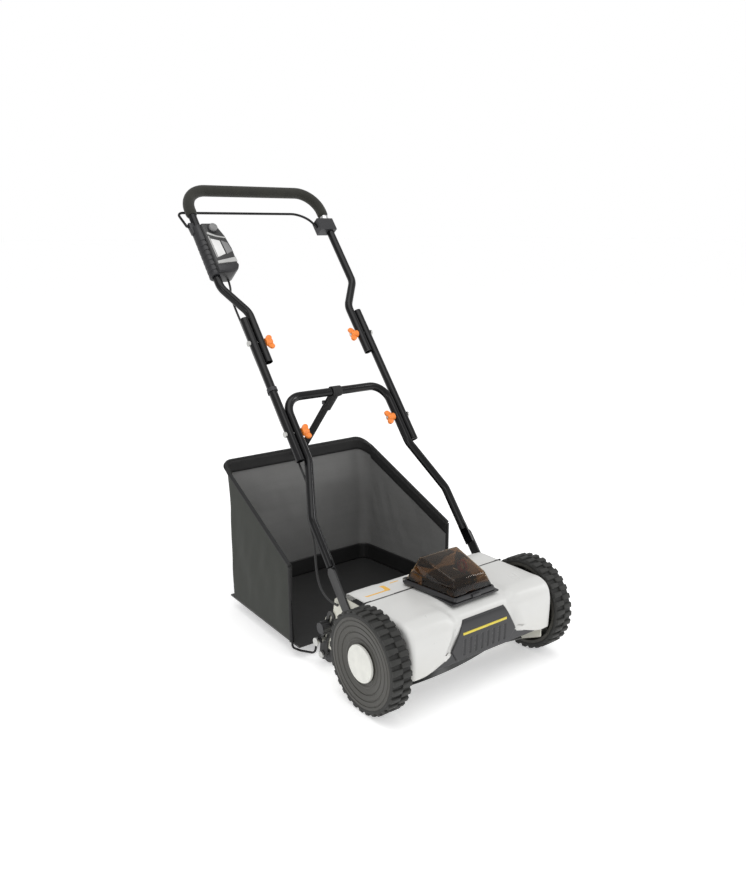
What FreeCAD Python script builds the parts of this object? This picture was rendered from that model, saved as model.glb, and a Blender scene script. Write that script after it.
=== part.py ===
"""Battery reel mower with a folding tube handle and a fabric grass catcher.

Frame: millimetres, +X to the mower's right, +Y to the rear, +Z up. The origin is on the ground,
under the middle of the wheels' axle. Handle pieces are laid out on a line of their own: "along"
is the distance up the handle from its pivot, "out" is square to it on the front side.
"""
import FreeCAD, Part
import Sketcher
import math
import os
import re

V = FreeCAD.Vector
ALONG_X = FreeCAD.Rotation(V(0, 1, 0), 90)
ALONG_Y = FreeCAD.Rotation(V(1, 0, 0), -90)
NO_TURN = FreeCAD.Rotation()

SIZES = {
    # wheels and their stub axles
    "wheel_dia": 204, "wheel_wide": 48, "wheel_outer": 246.7, "cap_dia": 75,
    "cap_thick": 6, "axle_dia": 12, "tyre_thick": 12,
    # chassis
    "frame_half": 183.7, "plate_thick": 4, "fit_gap": 0.3, "run_gap": 0.05,
    "deck_wall": 3, "deck_top": 187, "deck_front": 85, "deck_lip": 90, "seam_back": 60,
    "panel_back": 122, "brace_dia": 14,
    # cutting reel and bed knife
    "reel_y": 5, "reel_z": 76, "reel_dia": 112, "cut_wide": 310, "shaft_dia": 12,
    "disc_thick": 4, "blade_thick": 3, "blade_deep": 12, "blade_count": 5, "blade_twist": 66,
    "bearing_dia": 26, "bearing_wide": 7, "knife_gap": 0.8, "knife_thick": 3,
    # drive
    "motor_y": 92, "motor_z": 150, "motor_dia": 42, "motor_long": 76, "gear_module": 1.5,
    "reel_teeth": 48, "idler_teeth": 56, "pinion_teeth": 16, "gear_wide": 9, "gear_side": 169,
    # battery bay
    "bay_half": 50, "bay_front": 38, "bay_back": 80, "bay_floor": 150, "rim_half": 62,
    "rim_front": 58, "rim_back": 86, "rim_thick": 3.4, "cover_peak": 253, "cover_brow": 230,
    "cover_wall": 2.5, "hinge_dia": 4, "pack_wide": 62, "pack_long": 74, "pack_high": 60,
    # rear roller and its brackets
    "roller_dia": 45, "roller_y": 200, "roller_half": 180, "roller_axle": 8, "arm_thick": 4,
    "slot_stroke": 25, "knob_y": 179, "knob_z": 95, "pin_y": 194, "pin_z": 59, "stud_dia": 8,
    "pin_dia": 10, "height_knob_dia": 30, "height_knob_thick": 20,
    # handle
    "tube_dia": 19, "tube_wall": 1.5, "handle_angle": 51.8, "pivot_y": 107, "pivot_z": 141,
    "leg_half": 139.5, "foot_half": 186, "grip_half": 185, "bolt_dia": 6,
    "flat_at": 108, "flare_low": 214, "flare_top": 343, "fold_low": 412, "cross_bar": 498,
    "fold_high": 642, "upper_end": 590, "upper_bend": 722, "upper_flare": 792,
    "grip_start": 993, "handle_long": 1068, "foam_dia": 27, "grip_corner": 58, "loop_corner": 42,
    "middle_low": 346, "middle_high": 706, "plate_wide": 26, "wing_wide": 34, "wing_hub": 18,
    # controls
    "box_low": 832, "box_high": 962, "box_inner": 133, "box_deep": 46, "sleeve_dia": 32,
    "lock_dia": 20, "bail_dia": 6, "bail_reach": 58, "bail_rest": 19, "bail_left": 209,
    "bail_right": 148, "bail_pivot": 962, "cable_dia": 5,
    # grass catcher
    "bag_front": 271, "bag_back": 575, "bag_floor": 30, "bag_front_half": 222,
    "bag_back_half": 205, "bag_wall": 3, "rim_low": 207, "rim_high": 360, "rim_reach": 587,
    "flare_z": 294, "wire_dia": 5, "floor_thick": 3.6, "corner_cut": 24, "strap_wide": 25, "strap_thick": 2.4,
}

doc = FreeCAD.newDocument("reel_mower")
sheet = doc.addObject("Spreadsheet::Sheet", "dims")
for row, (alias, number) in enumerate(SIZES.items(), start=1):
    sheet.set("A%d" % row, alias)
    sheet.set("B%d" % row, str(number))
    sheet.setAlias("B%d" % row, alias)
doc.recompute()


class Sizes:
    """The sheet's values by name, for the shapes that are worked out in code."""

    def __getattr__(self, alias):
        return float(sheet.get(alias))


dim = Sizes()
parts = []


# ---------------------------------------------------------------- drawing helpers
def bind(thing, path, text):
    """Tie a property to the sheet; the names in text are the sheet's aliases."""
    full = re.sub(r"[a-z_]+", lambda m: "dims." + m.group() if m.group() in SIZES else m.group(), text)
    thing.setExpression(path, full)


def place(thing, x="0", y="0", z="0", turn=NO_TURN):
    thing.Placement = FreeCAD.Placement(V(0, 0, 0), turn)
    for letter, text in (("x", x), ("y", y), ("z", z)):
        bind(thing, "Placement.Base." + letter, text)
    return thing


def keep(thing, label):
    """Mark an object as a sub-part; its label is its node's name."""
    thing.Label = label
    parts.append(thing)
    return thing


def box(name, wide, deep, high, x="0", y="0", z="0"):
    thing = doc.addObject("Part::Box", name)
    for path, text in (("Length", wide), ("Width", deep), ("Height", high)):
        bind(thing, path, text)
    return place(thing, x, y, z)


def rod(name, dia, length, x="0", y="0", z="0", turn=ALONG_X):
    thing = doc.addObject("Part::Cylinder", name)
    bind(thing, "Radius", "(%s) / 2" % dia)
    bind(thing, "Height", length)
    return place(thing, x, y, z, turn)


def cut(name, base, *tools):
    thing = doc.addObject("Part::Cut", name)
    thing.Base = base
    thing.Tool = tools[0] if len(tools) == 1 else fuse(name + "_tools", *tools)
    return thing


def fuse(name, *pieces):
    thing = doc.addObject("Part::MultiFuse", name)
    thing.Shapes = list(pieces)
    return thing


def common(name, first, second):
    thing = doc.addObject("Part::Common", name)
    thing.Base = first
    thing.Tool = second
    return thing


def group(name, *pieces):
    thing = doc.addObject("Part::Compound", name)
    thing.Links = list(pieces)
    return thing


def plate(name, plane, outline, thick, x="0", y="0", z="0", holes=(), slots=()):
    """A body padded from a sketch: outline points and holes are pairs of expressions."""
    body = doc.addObject("PartDesign::Body", name)
    flat = [f for f in body.Origin.OriginFeatures if f.Role == plane][0]
    sketch = body.newObject("Sketcher::SketchObject", name + "_sketch")
    sketch.AttachmentSupport = [(flat, "")]
    sketch.MapMode = "FlatFace"
    draw_loop(sketch, outline)
    for u, v, dia in holes:
        draw_circle(sketch, u, v, dia)
    for loop in slots:
        draw_loop(sketch, loop)
    pad = body.newObject("PartDesign::Pad", name + "_pad")
    pad.Profile = sketch
    bind(pad, "Length", thick)
    return place(body, x, y, z)


def spot(sketch, geo, corner, u, v):
    """Hold one point of a sketch at (u, v) from the sketch's origin."""
    for kind, text in (("DistanceX", u), ("DistanceY", v)):
        index = sketch.addConstraint(Sketcher.Constraint(kind, -1, 1, geo, corner, 0.0))
        bind(sketch, "Constraints[%d]" % index, text)


def draw_loop(sketch, outline):
    first = sketch.GeometryCount
    count = len(outline)
    for i in range(count):
        angle = 2 * math.pi * i / count
        after = 2 * math.pi * (i + 1) / count
        ends = [V(100 * math.cos(a), 100 * math.sin(a), 0) for a in (angle, after)]
        sketch.addGeometry(Part.LineSegment(*ends), False)
    for i in range(count):
        joint = Sketcher.Constraint("Coincident", first + i, 2, first + (i + 1) % count, 1)
        sketch.addConstraint(joint)
    for i, (u, v) in enumerate(outline):
        spot(sketch, first + i, 1, u, v)


def draw_circle(sketch, u, v, dia):
    geo = sketch.addGeometry(Part.Circle(V(0, 0, 0), V(0, 0, 1), 5), False)
    index = sketch.addConstraint(Sketcher.Constraint("Diameter", geo, 10.0))
    bind(sketch, "Constraints[%d]" % index, dia)
    spot(sketch, geo, 3, u, v)


def made(label, shape, base=V(0, 0, 0), turn=NO_TURN):
    """A sub-part whose shape is worked out in code."""
    thing = doc.addObject("Part::Feature", label)
    thing.Shape = shape
    thing.Placement = FreeCAD.Placement(base, turn)
    return keep(thing, label)


def route(points, radii):
    """Straight runs joined by tangent arcs, one radius for each inner point."""
    edges = []
    start = points[0]
    for before, corner, after, radius in zip(points, points[1:], points[2:], radii):
        back = (before - corner).normalize()
        ahead = (after - corner).normalize()
        half = back.getAngle(ahead) / 2
        reach = radius / math.tan(half)
        middle = (back + ahead).normalize()
        centre = corner + middle * (radius / math.sin(half))
        arc = Part.Arc(corner + back * reach, centre - middle * radius, corner + ahead * reach)
        edges.append(Part.LineSegment(start, corner + back * reach).toShape())
        edges.append(arc.toShape())
        start = corner + ahead * reach
    edges.append(Part.LineSegment(start, points[-1]).toShape())
    return Part.Wire(edges)


def round_bar(path, radius):
    """A solid round bar along a route."""
    start = path.OrderedVertexes[0].Point
    ahead = path.OrderedEdges[0].tangentAt(path.OrderedEdges[0].FirstParameter)
    ring = Part.Wire(Part.Circle(start, ahead, radius).toShape())
    bar = path.makePipeShell([ring], True, False)
    ideal = math.pi * radius ** 2 * path.Length
    if abs(bar.Volume - ideal) > 0.02 * ideal:
        raise ValueError("a swept bar's volume is off: %.0f, not %.0f" % (bar.Volume, ideal))
    return bar


def cable_radii(points):
    """The largest arc that each inner point's two runs allow."""
    radii = []
    for before, corner, after in zip(points, points[1:], points[2:]):
        turn = math.pi - (before - corner).getAngle(after - corner)
        shorter = min((before - corner).Length, (after - corner).Length)
        radii.append(0.45 * shorter / math.tan(turn / 2))
    print("cable arc radii:", ", ".join("%.0f" % r for r in radii))
    return radii


def both_sides(name, maker):
    """Make a left and a right piece with maker(name, side); side is -1 or 1."""
    return maker(name + "_left", -1), maker(name + "_right", 1)


# ---------------------------------------------------------------- wheels
# Each wheel is a rubber tyre on a moulded disc, with a cap over its hub, and turns on a stub axle.
axle_z = "wheel_dia / 2"


def side_x(side, outer, thick):
    """The low X of a slab that ends at outer, on the given side."""
    return "(%s) - (%s)" % (outer, thick) if side > 0 else "-(%s)" % outer


def wheel(side):
    word = "left" if side < 0 else "right"
    x = side_x(side, "wheel_outer - cap_thick / 2", "wheel_wide - cap_thick / 2")
    wide = "wheel_wide - cap_thick / 2"
    tyre = cut("tyre_" + word, rod("tread_" + word, "wheel_dia", wide, x, "0", axle_z),
               rod("tread_bore_" + word, "wheel_dia - 2 * tyre_thick", wide, x, "0", axle_z))
    keep(tyre, "tyre_" + word)
    rim = rod("rim_" + word, "wheel_dia - 2 * tyre_thick - 2 * fit_gap", wide, x, "0", axle_z)
    hub = rod("hub_bore_" + word, "axle_dia + 2 * run_gap", wide, x, "0", axle_z)
    hollow_x = side_x(side, "wheel_outer - cap_thick / 2 - 14", "wheel_wide")
    dish = cut("dish_" + word,
               rod("dish_out_" + word, "wheel_dia - 2 * tyre_thick - 16", "wheel_wide",
                   hollow_x, "0", axle_z),
               rod("dish_hub_" + word, "axle_dia + 16", "wheel_wide", hollow_x, "0", axle_z))
    pocket_x = side_x(side, "wheel_outer - cap_thick / 2", "7")
    pocket = rod("cap_seat_" + word, "cap_dia + 2 * fit_gap", "7", pocket_x, "0", axle_z)
    keep(cut("wheel_disc_" + word, rim, hub, dish, pocket), "wheel_disc_" + word)
    cap_x = side_x(side, "wheel_outer", "cap_thick")
    dome = rod("cap_dome_" + word, "cap_dia", "cap_thick", cap_x, "0", axle_z)
    keep(cut("cap_" + word, dome,
             rod("cap_hollow_" + word, "24", "4",
                 side_x(side, "wheel_outer - 2", "4"), "0", axle_z)), "hub_cap_" + word)


for wheel_side in (-1, 1):
    wheel(wheel_side)


def stub_axle(name, side):
    """A pin with a collar, fixed in the side plate, and a clip that keeps the wheel on."""
    inner = side_x(side, "wheel_outer - cap_thick - 1.5",
                   "wheel_outer - cap_thick - 1.5 - frame_half")
    pin = rod(name + "_pin", "axle_dia", "wheel_outer - cap_thick - 1.5 - frame_half",
              inner, "0", axle_z)
    collar_x = side_x(side, "wheel_outer - wheel_wide - fit_gap",
                      "wheel_outer - wheel_wide - fit_gap - frame_half - plate_thick - fit_gap")
    collar = rod(name + "_collar", "axle_dia + 10",
                 "wheel_outer - wheel_wide - 2 * fit_gap - frame_half - plate_thick",
                 collar_x, "0", axle_z)
    return fuse(name, pin, collar)


keep(group("axles", *both_sides("axle", stub_axle)), "stub_axles")

# ---------------------------------------------------------------- side plates and deck
# Two moulded side plates carry everything; a hood, a rear panel and a front panel cover the reel.
PLATE_OUTLINE = [
    ("-deck_front + 17", "52"), ("-deck_front + 17", "110"), ("-45", "deck_top - 22"),
    ("-20", "deck_top - 14"), ("panel_back + 22", "deck_top - 14"),
    ("panel_back + 38", "deck_top - 26"), ("knob_y - 12", "knob_z + 28"),
    ("knob_y + 14", "knob_z + 14"), ("pin_y + 14", "pin_z + 8"),
    ("pin_y + 12", "pin_z - 14"), ("pin_y - 30", "pin_z - 22"), ("90", "17"), ("10", "15"),
]


def side_plate(name, side):
    x = side_x(side, "frame_half + plate_thick", "plate_thick")
    holes = [("0", axle_z, "axle_dia + 2 * run_gap"),
             ("reel_y", "reel_z", "bearing_dia + 2 * run_gap"),
             ("pivot_y", "pivot_z", "stud_dia + 2 * run_gap"),
             ("knob_y", "knob_z", "stud_dia + 2 * run_gap"),
             ("pin_y", "pin_z", "stud_dia + 2 * run_gap")]
    body = plate(name, "YZ_Plane", PLATE_OUTLINE, "plate_thick", x, holes=holes)
    keep(body, name)


both_sides("side_plate", side_plate)

# The hood is a hollow moulding, open below and at the back, with a cut-out for the battery bay.
HOOD_LINE = [("seam_back", "deck_top"), ("-deck_front + 35", "deck_top"),
             ("-deck_front + 12", "deck_top - 7"), ("-deck_front + 1", "deck_top - 18"),
             ("-deck_front - 5", "deck_top - 60"), ("-deck_front", "deck_lip")]
deck_half = "(frame_half + plate_thick + fit_gap + deck_wall)"
hood_outer = plate("hood_outer", "YZ_Plane",
                   HOOD_LINE + [("-deck_front + 17", "deck_lip - 12"), ("seam_back", "deck_lip - 12")],
                   "2 * %s" % deck_half, "-%s" % deck_half)
inner_line = [("seam_back + 20", "deck_top - deck_wall"), ("-deck_front + 35", "deck_top - deck_wall"),
              ("-deck_front + 13.2", "deck_top - deck_wall - 6.6"),
              ("-deck_front + 4.2", "deck_top - deck_wall - 16.3"),
              ("-deck_front - 2", "deck_top - 60"), ("-deck_front + 3.2", "deck_lip"),
              ("-deck_front + 18.5", "deck_lip - 20"), ("seam_back + 20", "deck_lip - 20")]
hood_inner = plate("hood_inner", "YZ_Plane", inner_line, "2 * (frame_half + plate_thick + fit_gap)",
                   "-frame_half - plate_thick - fit_gap")
wheel_arch = rod("wheel_arch", "axle_dia + 18", "2 * %s + 2" % deck_half,
                 "-%s - 1" % deck_half, "0", axle_z)
bay_hole = box("bay_hole", "2 * (bay_half + fit_gap)", "seam_back + bay_front + 40", "30",
               "-bay_half - fit_gap", "-bay_front - fit_gap", "deck_top - 15")
keep(cut("hood", hood_outer, hood_inner, wheel_arch, bay_hole), "deck_hood")

rear_line = [("seam_back + 2 * fit_gap", "deck_top"), ("panel_back", "deck_top"),
             ("panel_back + 5", "deck_top - 6"), ("panel_back + 5", "deck_top - 24"),
             ("panel_back + 2", "deck_top - 24"), ("panel_back + 2", "deck_top - 5"),
             ("panel_back - 2", "deck_top - deck_wall"),
             ("seam_back + 2 * fit_gap", "deck_top - deck_wall")]
rear_sheet = plate("rear_sheet", "YZ_Plane", rear_line, "2 * (frame_half - fit_gap)",
                   "-frame_half + fit_gap")
rear_notch = box("rear_notch", "2 * (bay_half + fit_gap)", "bay_back + fit_gap - seam_back + 5", "20",
                 "-bay_half - fit_gap", "seam_back - 5", "deck_top - 10")
keep(cut("rear_panel_cut", rear_sheet, rear_notch), "rear_panel")

# The front panel is a thin moulding on the hood's nose; a coloured strip is set on it.
nose = ["-deck_front + 1", "-deck_front - 5", "-deck_front"]


def nose_skin(name, near, far):
    """A skin that follows the nose, from near to far in front of the hood."""
    low = [("%s - 1.2 - %s" % (nose[2], d), "deck_lip - 5") for d in (near, far)]
    mid = [("%s - %s" % (nose[1], d), "deck_top - 60") for d in (near, far)]
    top = [("%s - %s" % (nose[0], d), "deck_top - 18") for d in (near, far)]
    return plate(name, "YZ_Plane", [low[0], mid[0], top[0], top[1], mid[1], low[1]], "240", "-120")


panel_front = plate("panel_front", "XZ_Plane",
                    [("-55", "deck_top - 19"), ("55", "deck_top - 19"), ("89", "deck_lip + 23"),
                     ("72", "deck_lip - 4"), ("-72", "deck_lip - 4"), ("-89", "deck_lip + 23")],
                    "60", y="-50")
keep(common("front_panel_cut", nose_skin("panel_skin", "0.4", "2.9"), panel_front), "front_panel")
strip_front = plate("strip_front", "XZ_Plane",
                    [("-60", "deck_top - 51.5"), ("60", "deck_top - 51.5"),
                     ("64", "deck_top - 43.5"), ("-64", "deck_top - 43.5")], "60", y="-50")
keep(common("strip_cut", nose_skin("strip_skin", "3.2", "4.4"), strip_front), "accent_strip")

# Cross braces tie the side plates together; each is a tube held by a screw at both ends.
brace_long = "2 * (frame_half - fit_gap)"
braces = [rod("brace_%d" % i, "brace_dia", brace_long, "-frame_half + fit_gap", y, z)
          for i, (y, z) in enumerate([("-52", "124"), ("panel_back - 6", "62")])]
keep(group("cross_braces", *braces), "cross_braces")

# ---------------------------------------------------------------- cutting reel
# Helical blades stand on discs that are fixed to a shaft in ball bearings.
shaft = rod("reel_rod", "shaft_dia", "2 * (frame_half + plate_thick) - 1",
            "-frame_half - plate_thick + 0.5", "reel_y", "reel_z")
keep(shaft, "reel_shaft")


def reel_discs():
    """Three discs: one at each end of the blades and one in the middle."""
    root = dim.reel_dia / 2 - dim.blade_deep - dim.fit_gap
    discs = []
    for share in (-0.46, 0.0, 0.46):
        x = share * dim.cut_wide - dim.disc_thick / 2
        disc = Part.makeCylinder(root, dim.disc_thick, V(x, 0, 0), V(1, 0, 0))
        disc = disc.cut(Part.makeCylinder(dim.shaft_dia / 2 + dim.fit_gap / 10, dim.disc_thick,
                                          V(x, 0, 0), V(1, 0, 0)))
        for k in range(5):
            angle = math.radians(72 * k)
            spot_y, spot_z = 0.58 * root * math.cos(angle), 0.58 * root * math.sin(angle)
            window = Part.makeCylinder(0.2 * root, dim.disc_thick, V(x, spot_y, spot_z), V(1, 0, 0))
            disc = disc.cut(window)
        discs.append(disc)
    return Part.makeCompound(discs)


def reel_blade(start_angle):
    """One blade: a strip that winds round the reel's axis from end to end."""
    tip = dim.reel_dia / 2
    root = tip - dim.blade_deep
    steps = 8
    rings = []
    for i in range(steps + 1):
        share = i / steps
        x = (share - 0.5) * dim.cut_wide
        angle = start_angle + math.radians(dim.blade_twist * share)
        radial = V(0, math.cos(angle), math.sin(angle))
        across = V(0, -math.sin(angle), math.cos(angle)) * (dim.blade_thick / 2)
        tip_mid, root_mid = V(x, 0, 0) + radial * (tip - 0.2), V(x, 0, 0) + radial * root
        rings.append(Part.makePolygon([root_mid - across, tip_mid - across, tip_mid + across,
                                       root_mid + across, root_mid - across]))
    return Part.makeLoft(rings, True, False)


reel_centre = V(0, dim.reel_y, dim.reel_z)
made("reel_discs", reel_discs(), reel_centre)
blade_angles = [2 * math.pi * k / dim.blade_count for k in range(int(dim.blade_count))]
made("reel_blades", Part.makeCompound([reel_blade(a) for a in blade_angles]), reel_centre)

bearings = []
for bearing_side in (-1, 1):
    word = "l" if bearing_side < 0 else "r"
    x = side_x(bearing_side, "frame_half + plate_thick - 0.5", "bearing_wide")
    bearings.append(cut("bearing_" + word,
                        rod("bearing_ring_" + word, "bearing_dia", "bearing_wide",
                            x, "reel_y", "reel_z"),
                        rod("bearing_eye_" + word, "shaft_dia + 2 * run_gap", "bearing_wide",
                            x, "reel_y", "reel_z")))
keep(group("bearings", *bearings), "reel_bearings")

# The bed knife lies under the reel's back and is bolted to a bar between the side plates.
knife_top = "reel_z - reel_dia / 2 + 2 - knife_gap"
knife = box("knife", "2 * (frame_half - fit_gap)", "62", "knife_thick",
            "-frame_half + fit_gap", "reel_y + 15", knife_top + " - knife_thick")
keep(knife, "bed_knife")
knife_bar = box("knife_bar", "2 * (frame_half - fit_gap)", "18", "20",
                "-frame_half + fit_gap", "reel_y + reel_dia / 2 + 2", knife_top)
keep(knife_bar, "bed_knife_bar")


# ---------------------------------------------------------------- motor and gears
def gear(teeth, wide, bore):
    """A spur gear with involute flanks and some backlash, its first tooth along +Y."""
    module = dim.gear_module
    pitch = module * teeth / 2
    base = pitch * math.cos(math.radians(20))
    root, tip = pitch - 1.2 * module, pitch + 0.9 * module
    half = 0.43 * math.pi / teeth
    turned = math.tan(math.radians(20)) - math.radians(20)
    flank = []
    for radius in (root, max(base, root + 0.05), pitch, (pitch + tip) / 2, tip):
        spread = math.acos(min(1, base / radius)) if radius > base else 0
        flank.append((radius, half + turned - (math.tan(spread) - spread)))
    corners = []
    for k in range(int(teeth)):
        middle = 2 * math.pi * k / teeth
        corners += [(r, middle - a) for r, a in flank]
        corners += [(r, middle + a) for r, a in reversed(flank)]
    points = [V(0, r * math.cos(a), r * math.sin(a)) for r, a in corners]
    blank = Part.Face(Part.makePolygon(points + points[:1])).extrude(V(wide, 0, 0))
    return blank.cut(Part.makeCylinder(bore, wide, V(0, 0, 0), V(1, 0, 0)))


reel_pitch = dim.gear_module * dim.reel_teeth / 2
idler_pitch = dim.gear_module * dim.idler_teeth / 2
pinion_pitch = dim.gear_module * dim.pinion_teeth / 2
to_motor = V(0, dim.motor_y - dim.reel_y, dim.motor_z - dim.reel_z)
span = to_motor.Length
far_reel, far_motor = reel_pitch + idler_pitch, idler_pitch + pinion_pitch
forward = (far_reel ** 2 - far_motor ** 2 + span ** 2) / (2 * span)
aside = math.sqrt(far_reel ** 2 - forward ** 2)
straight = to_motor.normalize()
idler_centre = reel_centre + straight * forward + V(0, straight.z, -straight.y) * aside
motor_centre = V(0, dim.motor_y, dim.motor_z)


def heading(start, end):
    return math.degrees(math.atan2(end.z - start.z, end.y - start.y))


reel_phase = heading(reel_centre, idler_centre)
idler_step, pinion_step = 360 / dim.idler_teeth, 360 / dim.pinion_teeth
idler_phase = reel_phase + 180 + idler_step / 2
to_pinion = heading(idler_centre, motor_centre)
share = ((to_pinion - idler_phase) / idler_step) % 1
pinion_phase = to_pinion + 180 + (share + 0.5) * pinion_step


def geared(label, teeth, bore, centre, phase):
    turn = FreeCAD.Rotation(V(1, 0, 0), phase)
    made(label, gear(teeth, dim.gear_wide, bore), centre + V(dim.gear_side, 0, 0), turn)


geared("reel_gear", dim.reel_teeth, dim.shaft_dia / 2 + 0.03, reel_centre, reel_phase)
geared("idler_gear", dim.idler_teeth, 4 + dim.run_gap, idler_centre, idler_phase)
geared("motor_pinion", dim.pinion_teeth, 3.03, motor_centre, pinion_phase)

motor_x = "gear_side - 6 - motor_long"
motor_can = rod("motor_can", "motor_dia", "motor_long", motor_x, "motor_y", "motor_z")
keep(cut("motor_cut", motor_can, rod("motor_eye", "6 + 2 * run_gap", "motor_long", motor_x,
                                    "motor_y", "motor_z")), "motor")
keep(rod("motor_rod", "6", "motor_long + 6 + gear_wide + 2", motor_x, "motor_y", "motor_z"),
     "motor_shaft")
mount_plate = Part.makeBox(3, 110, 120, V(dim.gear_side - 5.6, 52, 70))
mount_plate = mount_plate.cut(Part.makeCylinder(11, 3, motor_centre + V(dim.gear_side - 5.6, 0, 0),
                                                V(1, 0, 0)))
mount_plate = mount_plate.common(Part.makeBox(3, 75, 101, V(dim.gear_side - 5.6, 48, 72)))
axle_start = V(dim.gear_side - 5.6, 0, 0)
idler_pin = Part.makeCylinder(4, dim.frame_half - dim.gear_side + 5.6, idler_centre + axle_start,
                              V(1, 0, 0))
spacer = Part.makeCylinder(5, dim.frame_half - dim.gear_side + 5.6,
                           V(dim.gear_side - 5.6, 60, 152), V(1, 0, 0))
made("motor_bracket", mount_plate.fuse([idler_pin, spacer]).removeSplitter())

# ---------------------------------------------------------------- battery bay
# A tray in the deck holds the battery and the safety key, under a clear cover hinged at its back.
tray = box("tray", "2 * bay_half", "bay_front + bay_back", "deck_top - bay_floor",
           "-bay_half", "-bay_front", "bay_floor")
flange = box("flange", "2 * rim_half", "rim_front + rim_back", "rim_thick", "-rim_half", "-rim_front",
             "deck_top + fit_gap")
tray_well = box("tray_well", "2 * (bay_half - 3)", "bay_front + bay_back - 6", "60",
                "-bay_half + 3", "-bay_front + 3", "bay_floor + 3")
neck = box("neck", "2 * bay_half", "bay_front + bay_back", "4", "-bay_half", "-bay_front",
           "deck_top - 2")
ears = []
for ear_side in (-1, 1):
    x = side_x(ear_side, "rim_half", "6")
    ears.append(rod("ear_%d" % (ear_side + 2), "hinge_dia + 5", "6", x, "rim_back + 4",
                    "deck_top + 7"))
    ears.append(box("ear_foot_%d" % (ear_side + 2), "6", "8.5", "rim_thick", x, "rim_back - 0.5",
                    "deck_top + fit_gap"))
hinge_eye = rod("hinge_eye", "hinge_dia + 2 * run_gap", "2 * rim_half + 2", "-rim_half - 1",
                "rim_back + 4", "deck_top + 7")
socket_x = "bay_half - 15 - 3"
socket = box("socket", "14", "20", "24", socket_x, "15", "bay_floor + 2")
socket_well = box("socket_well", "8.6", "14.6", "40", socket_x + " + 2.7", "17.7", "bay_floor + 3")
shell = cut("dock_shell", fuse("dock_solid", tray, flange, neck, *ears), tray_well, hinge_eye)
keep(cut("dock", fuse("dock_filled", shell, socket), socket_well), "battery_dock")

battery_x = "-bay_half + 6"
pack_body = box("pack_body", "pack_wide", "pack_long", "pack_high", battery_x, "-22",
                "bay_floor + 3.3")
pack_head = box("pack_head", "pack_wide - 10", "pack_long - 14", "8", battery_x + " + 5", "-15",
                "bay_floor + 3.3 + pack_high - 1")
keep(fuse("pack", pack_body, pack_head), "battery_pack")

key_x = dim.bay_half - 15
key_stem = Part.makeBox(8, 14, 58, V(key_x, 18, dim.bay_floor + 3.3))
key_loop = Part.makeCylinder(13, 6, V(key_x + 1, 25, dim.bay_floor + 70), V(1, 0, 0))
key_loop = key_loop.cut(Part.makeCylinder(8, 6, V(key_x + 1, 25, dim.bay_floor + 70), V(1, 0, 0)))
made("safety_key", key_stem.fuse(key_loop).removeSplitter())


def cover_block(inset, base_z, lift):
    """The cover's outer or inner form: four sloping sides under a sloping roof."""
    base = [V(-55 + inset, -56 + inset, base_z), V(55 - inset, -56 + inset, base_z),
            V(72 - inset, 84 - inset, base_z), V(-72 + inset, 84 - inset, base_z)]
    roof = [V(-42 + inset, -38 + inset, dim.cover_brow - lift),
            V(42 - inset, -38 + inset, dim.cover_brow - lift),
            V(52 - inset, 56 - inset, dim.cover_peak - lift),
            V(-52 + inset, 56 - inset, dim.cover_peak - lift)]
    rings = [Part.makePolygon(ring + ring[:1]) for ring in (base, roof)]
    return Part.makeLoft(rings, True, True)


cover_base = dim.deck_top + dim.fit_gap * 2 + dim.rim_thick
hood_shape = cover_block(0, cover_base, 0)
hood_shape = hood_shape.cut(cover_block(dim.cover_wall, cover_base - 0.01, dim.cover_wall))
hinge_line = V(-dim.rim_half + 7, dim.rim_back + 4, dim.deck_top + 7)
hinge_long = 2 * (dim.rim_half - 7)
knuckle = Part.makeCylinder(4.2, hinge_long, hinge_line, V(1, 0, 0))
tongue = Part.makeBox(hinge_long, 9, 3, V(-dim.rim_half + 7, dim.rim_back - 5, dim.deck_top + 6.4))
eye = Part.makeCylinder(dim.hinge_dia / 2 + dim.run_gap, hinge_long, hinge_line, V(1, 0, 0))
made("battery_cover", hood_shape.fuse([knuckle, tongue]).cut(eye).removeSplitter())
keep(rod("cover_pin", "hinge_dia", "2 * rim_half", "-rim_half", "rim_back + 4", "deck_top + 7"),
     "cover_hinge_pin")


# ---------------------------------------------------------------- rear roller
# The roller turns between two slotted brackets that slide on a stud and a pin in each side plate.
slide_turn = math.degrees(math.atan2(dim.pin_z - dim.knob_z, dim.pin_y - dim.knob_y))
slide_way = V(0, math.cos(math.radians(slide_turn)), math.sin(math.radians(slide_turn)))


def slotted(start, end, half, thick, x):
    """A round-ended bar from start to end, for a slot or its boss."""
    way = (end - start).normalize()
    over = way.cross(V(1, 0, 0)) * half
    flat = Part.makePolygon([start + over, end + over, end - over, start - over, start + over])
    bar = Part.Face(flat).extrude(V(thick, 0, 0))
    caps = [Part.makeCylinder(half, thick, p, V(1, 0, 0)) for p in (start, end)]
    bar = bar.fuse(caps)
    bar.translate(V(x, 0, 0))
    return bar.removeSplitter()


def roller_bracket(name, side):
    low_x = dim.frame_half + dim.plate_thick + dim.fit_gap
    x = low_x if side > 0 else -low_x - dim.arm_thick
    stud, pin = V(0, dim.knob_y, dim.knob_z), V(0, dim.pin_y, dim.pin_z)
    hub = V(0, dim.roller_y, dim.roller_dia / 2)
    back = slide_way * -(dim.slot_stroke + 1)
    body = slotted(stud + back, pin, 12, dim.arm_thick, x)
    body = body.fuse(slotted(pin, hub, 12, dim.arm_thick, x))
    half = dim.stud_dia / 2 + dim.fit_gap
    for mark in (stud, pin):
        body = body.cut(slotted(mark + back, mark + slide_way, half, dim.arm_thick, x))
    body = body.cut(Part.makeCylinder(dim.roller_axle / 2 + dim.run_gap, dim.arm_thick,
                                      hub + V(x, 0, 0), V(1, 0, 0)))
    return body.removeSplitter()


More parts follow.
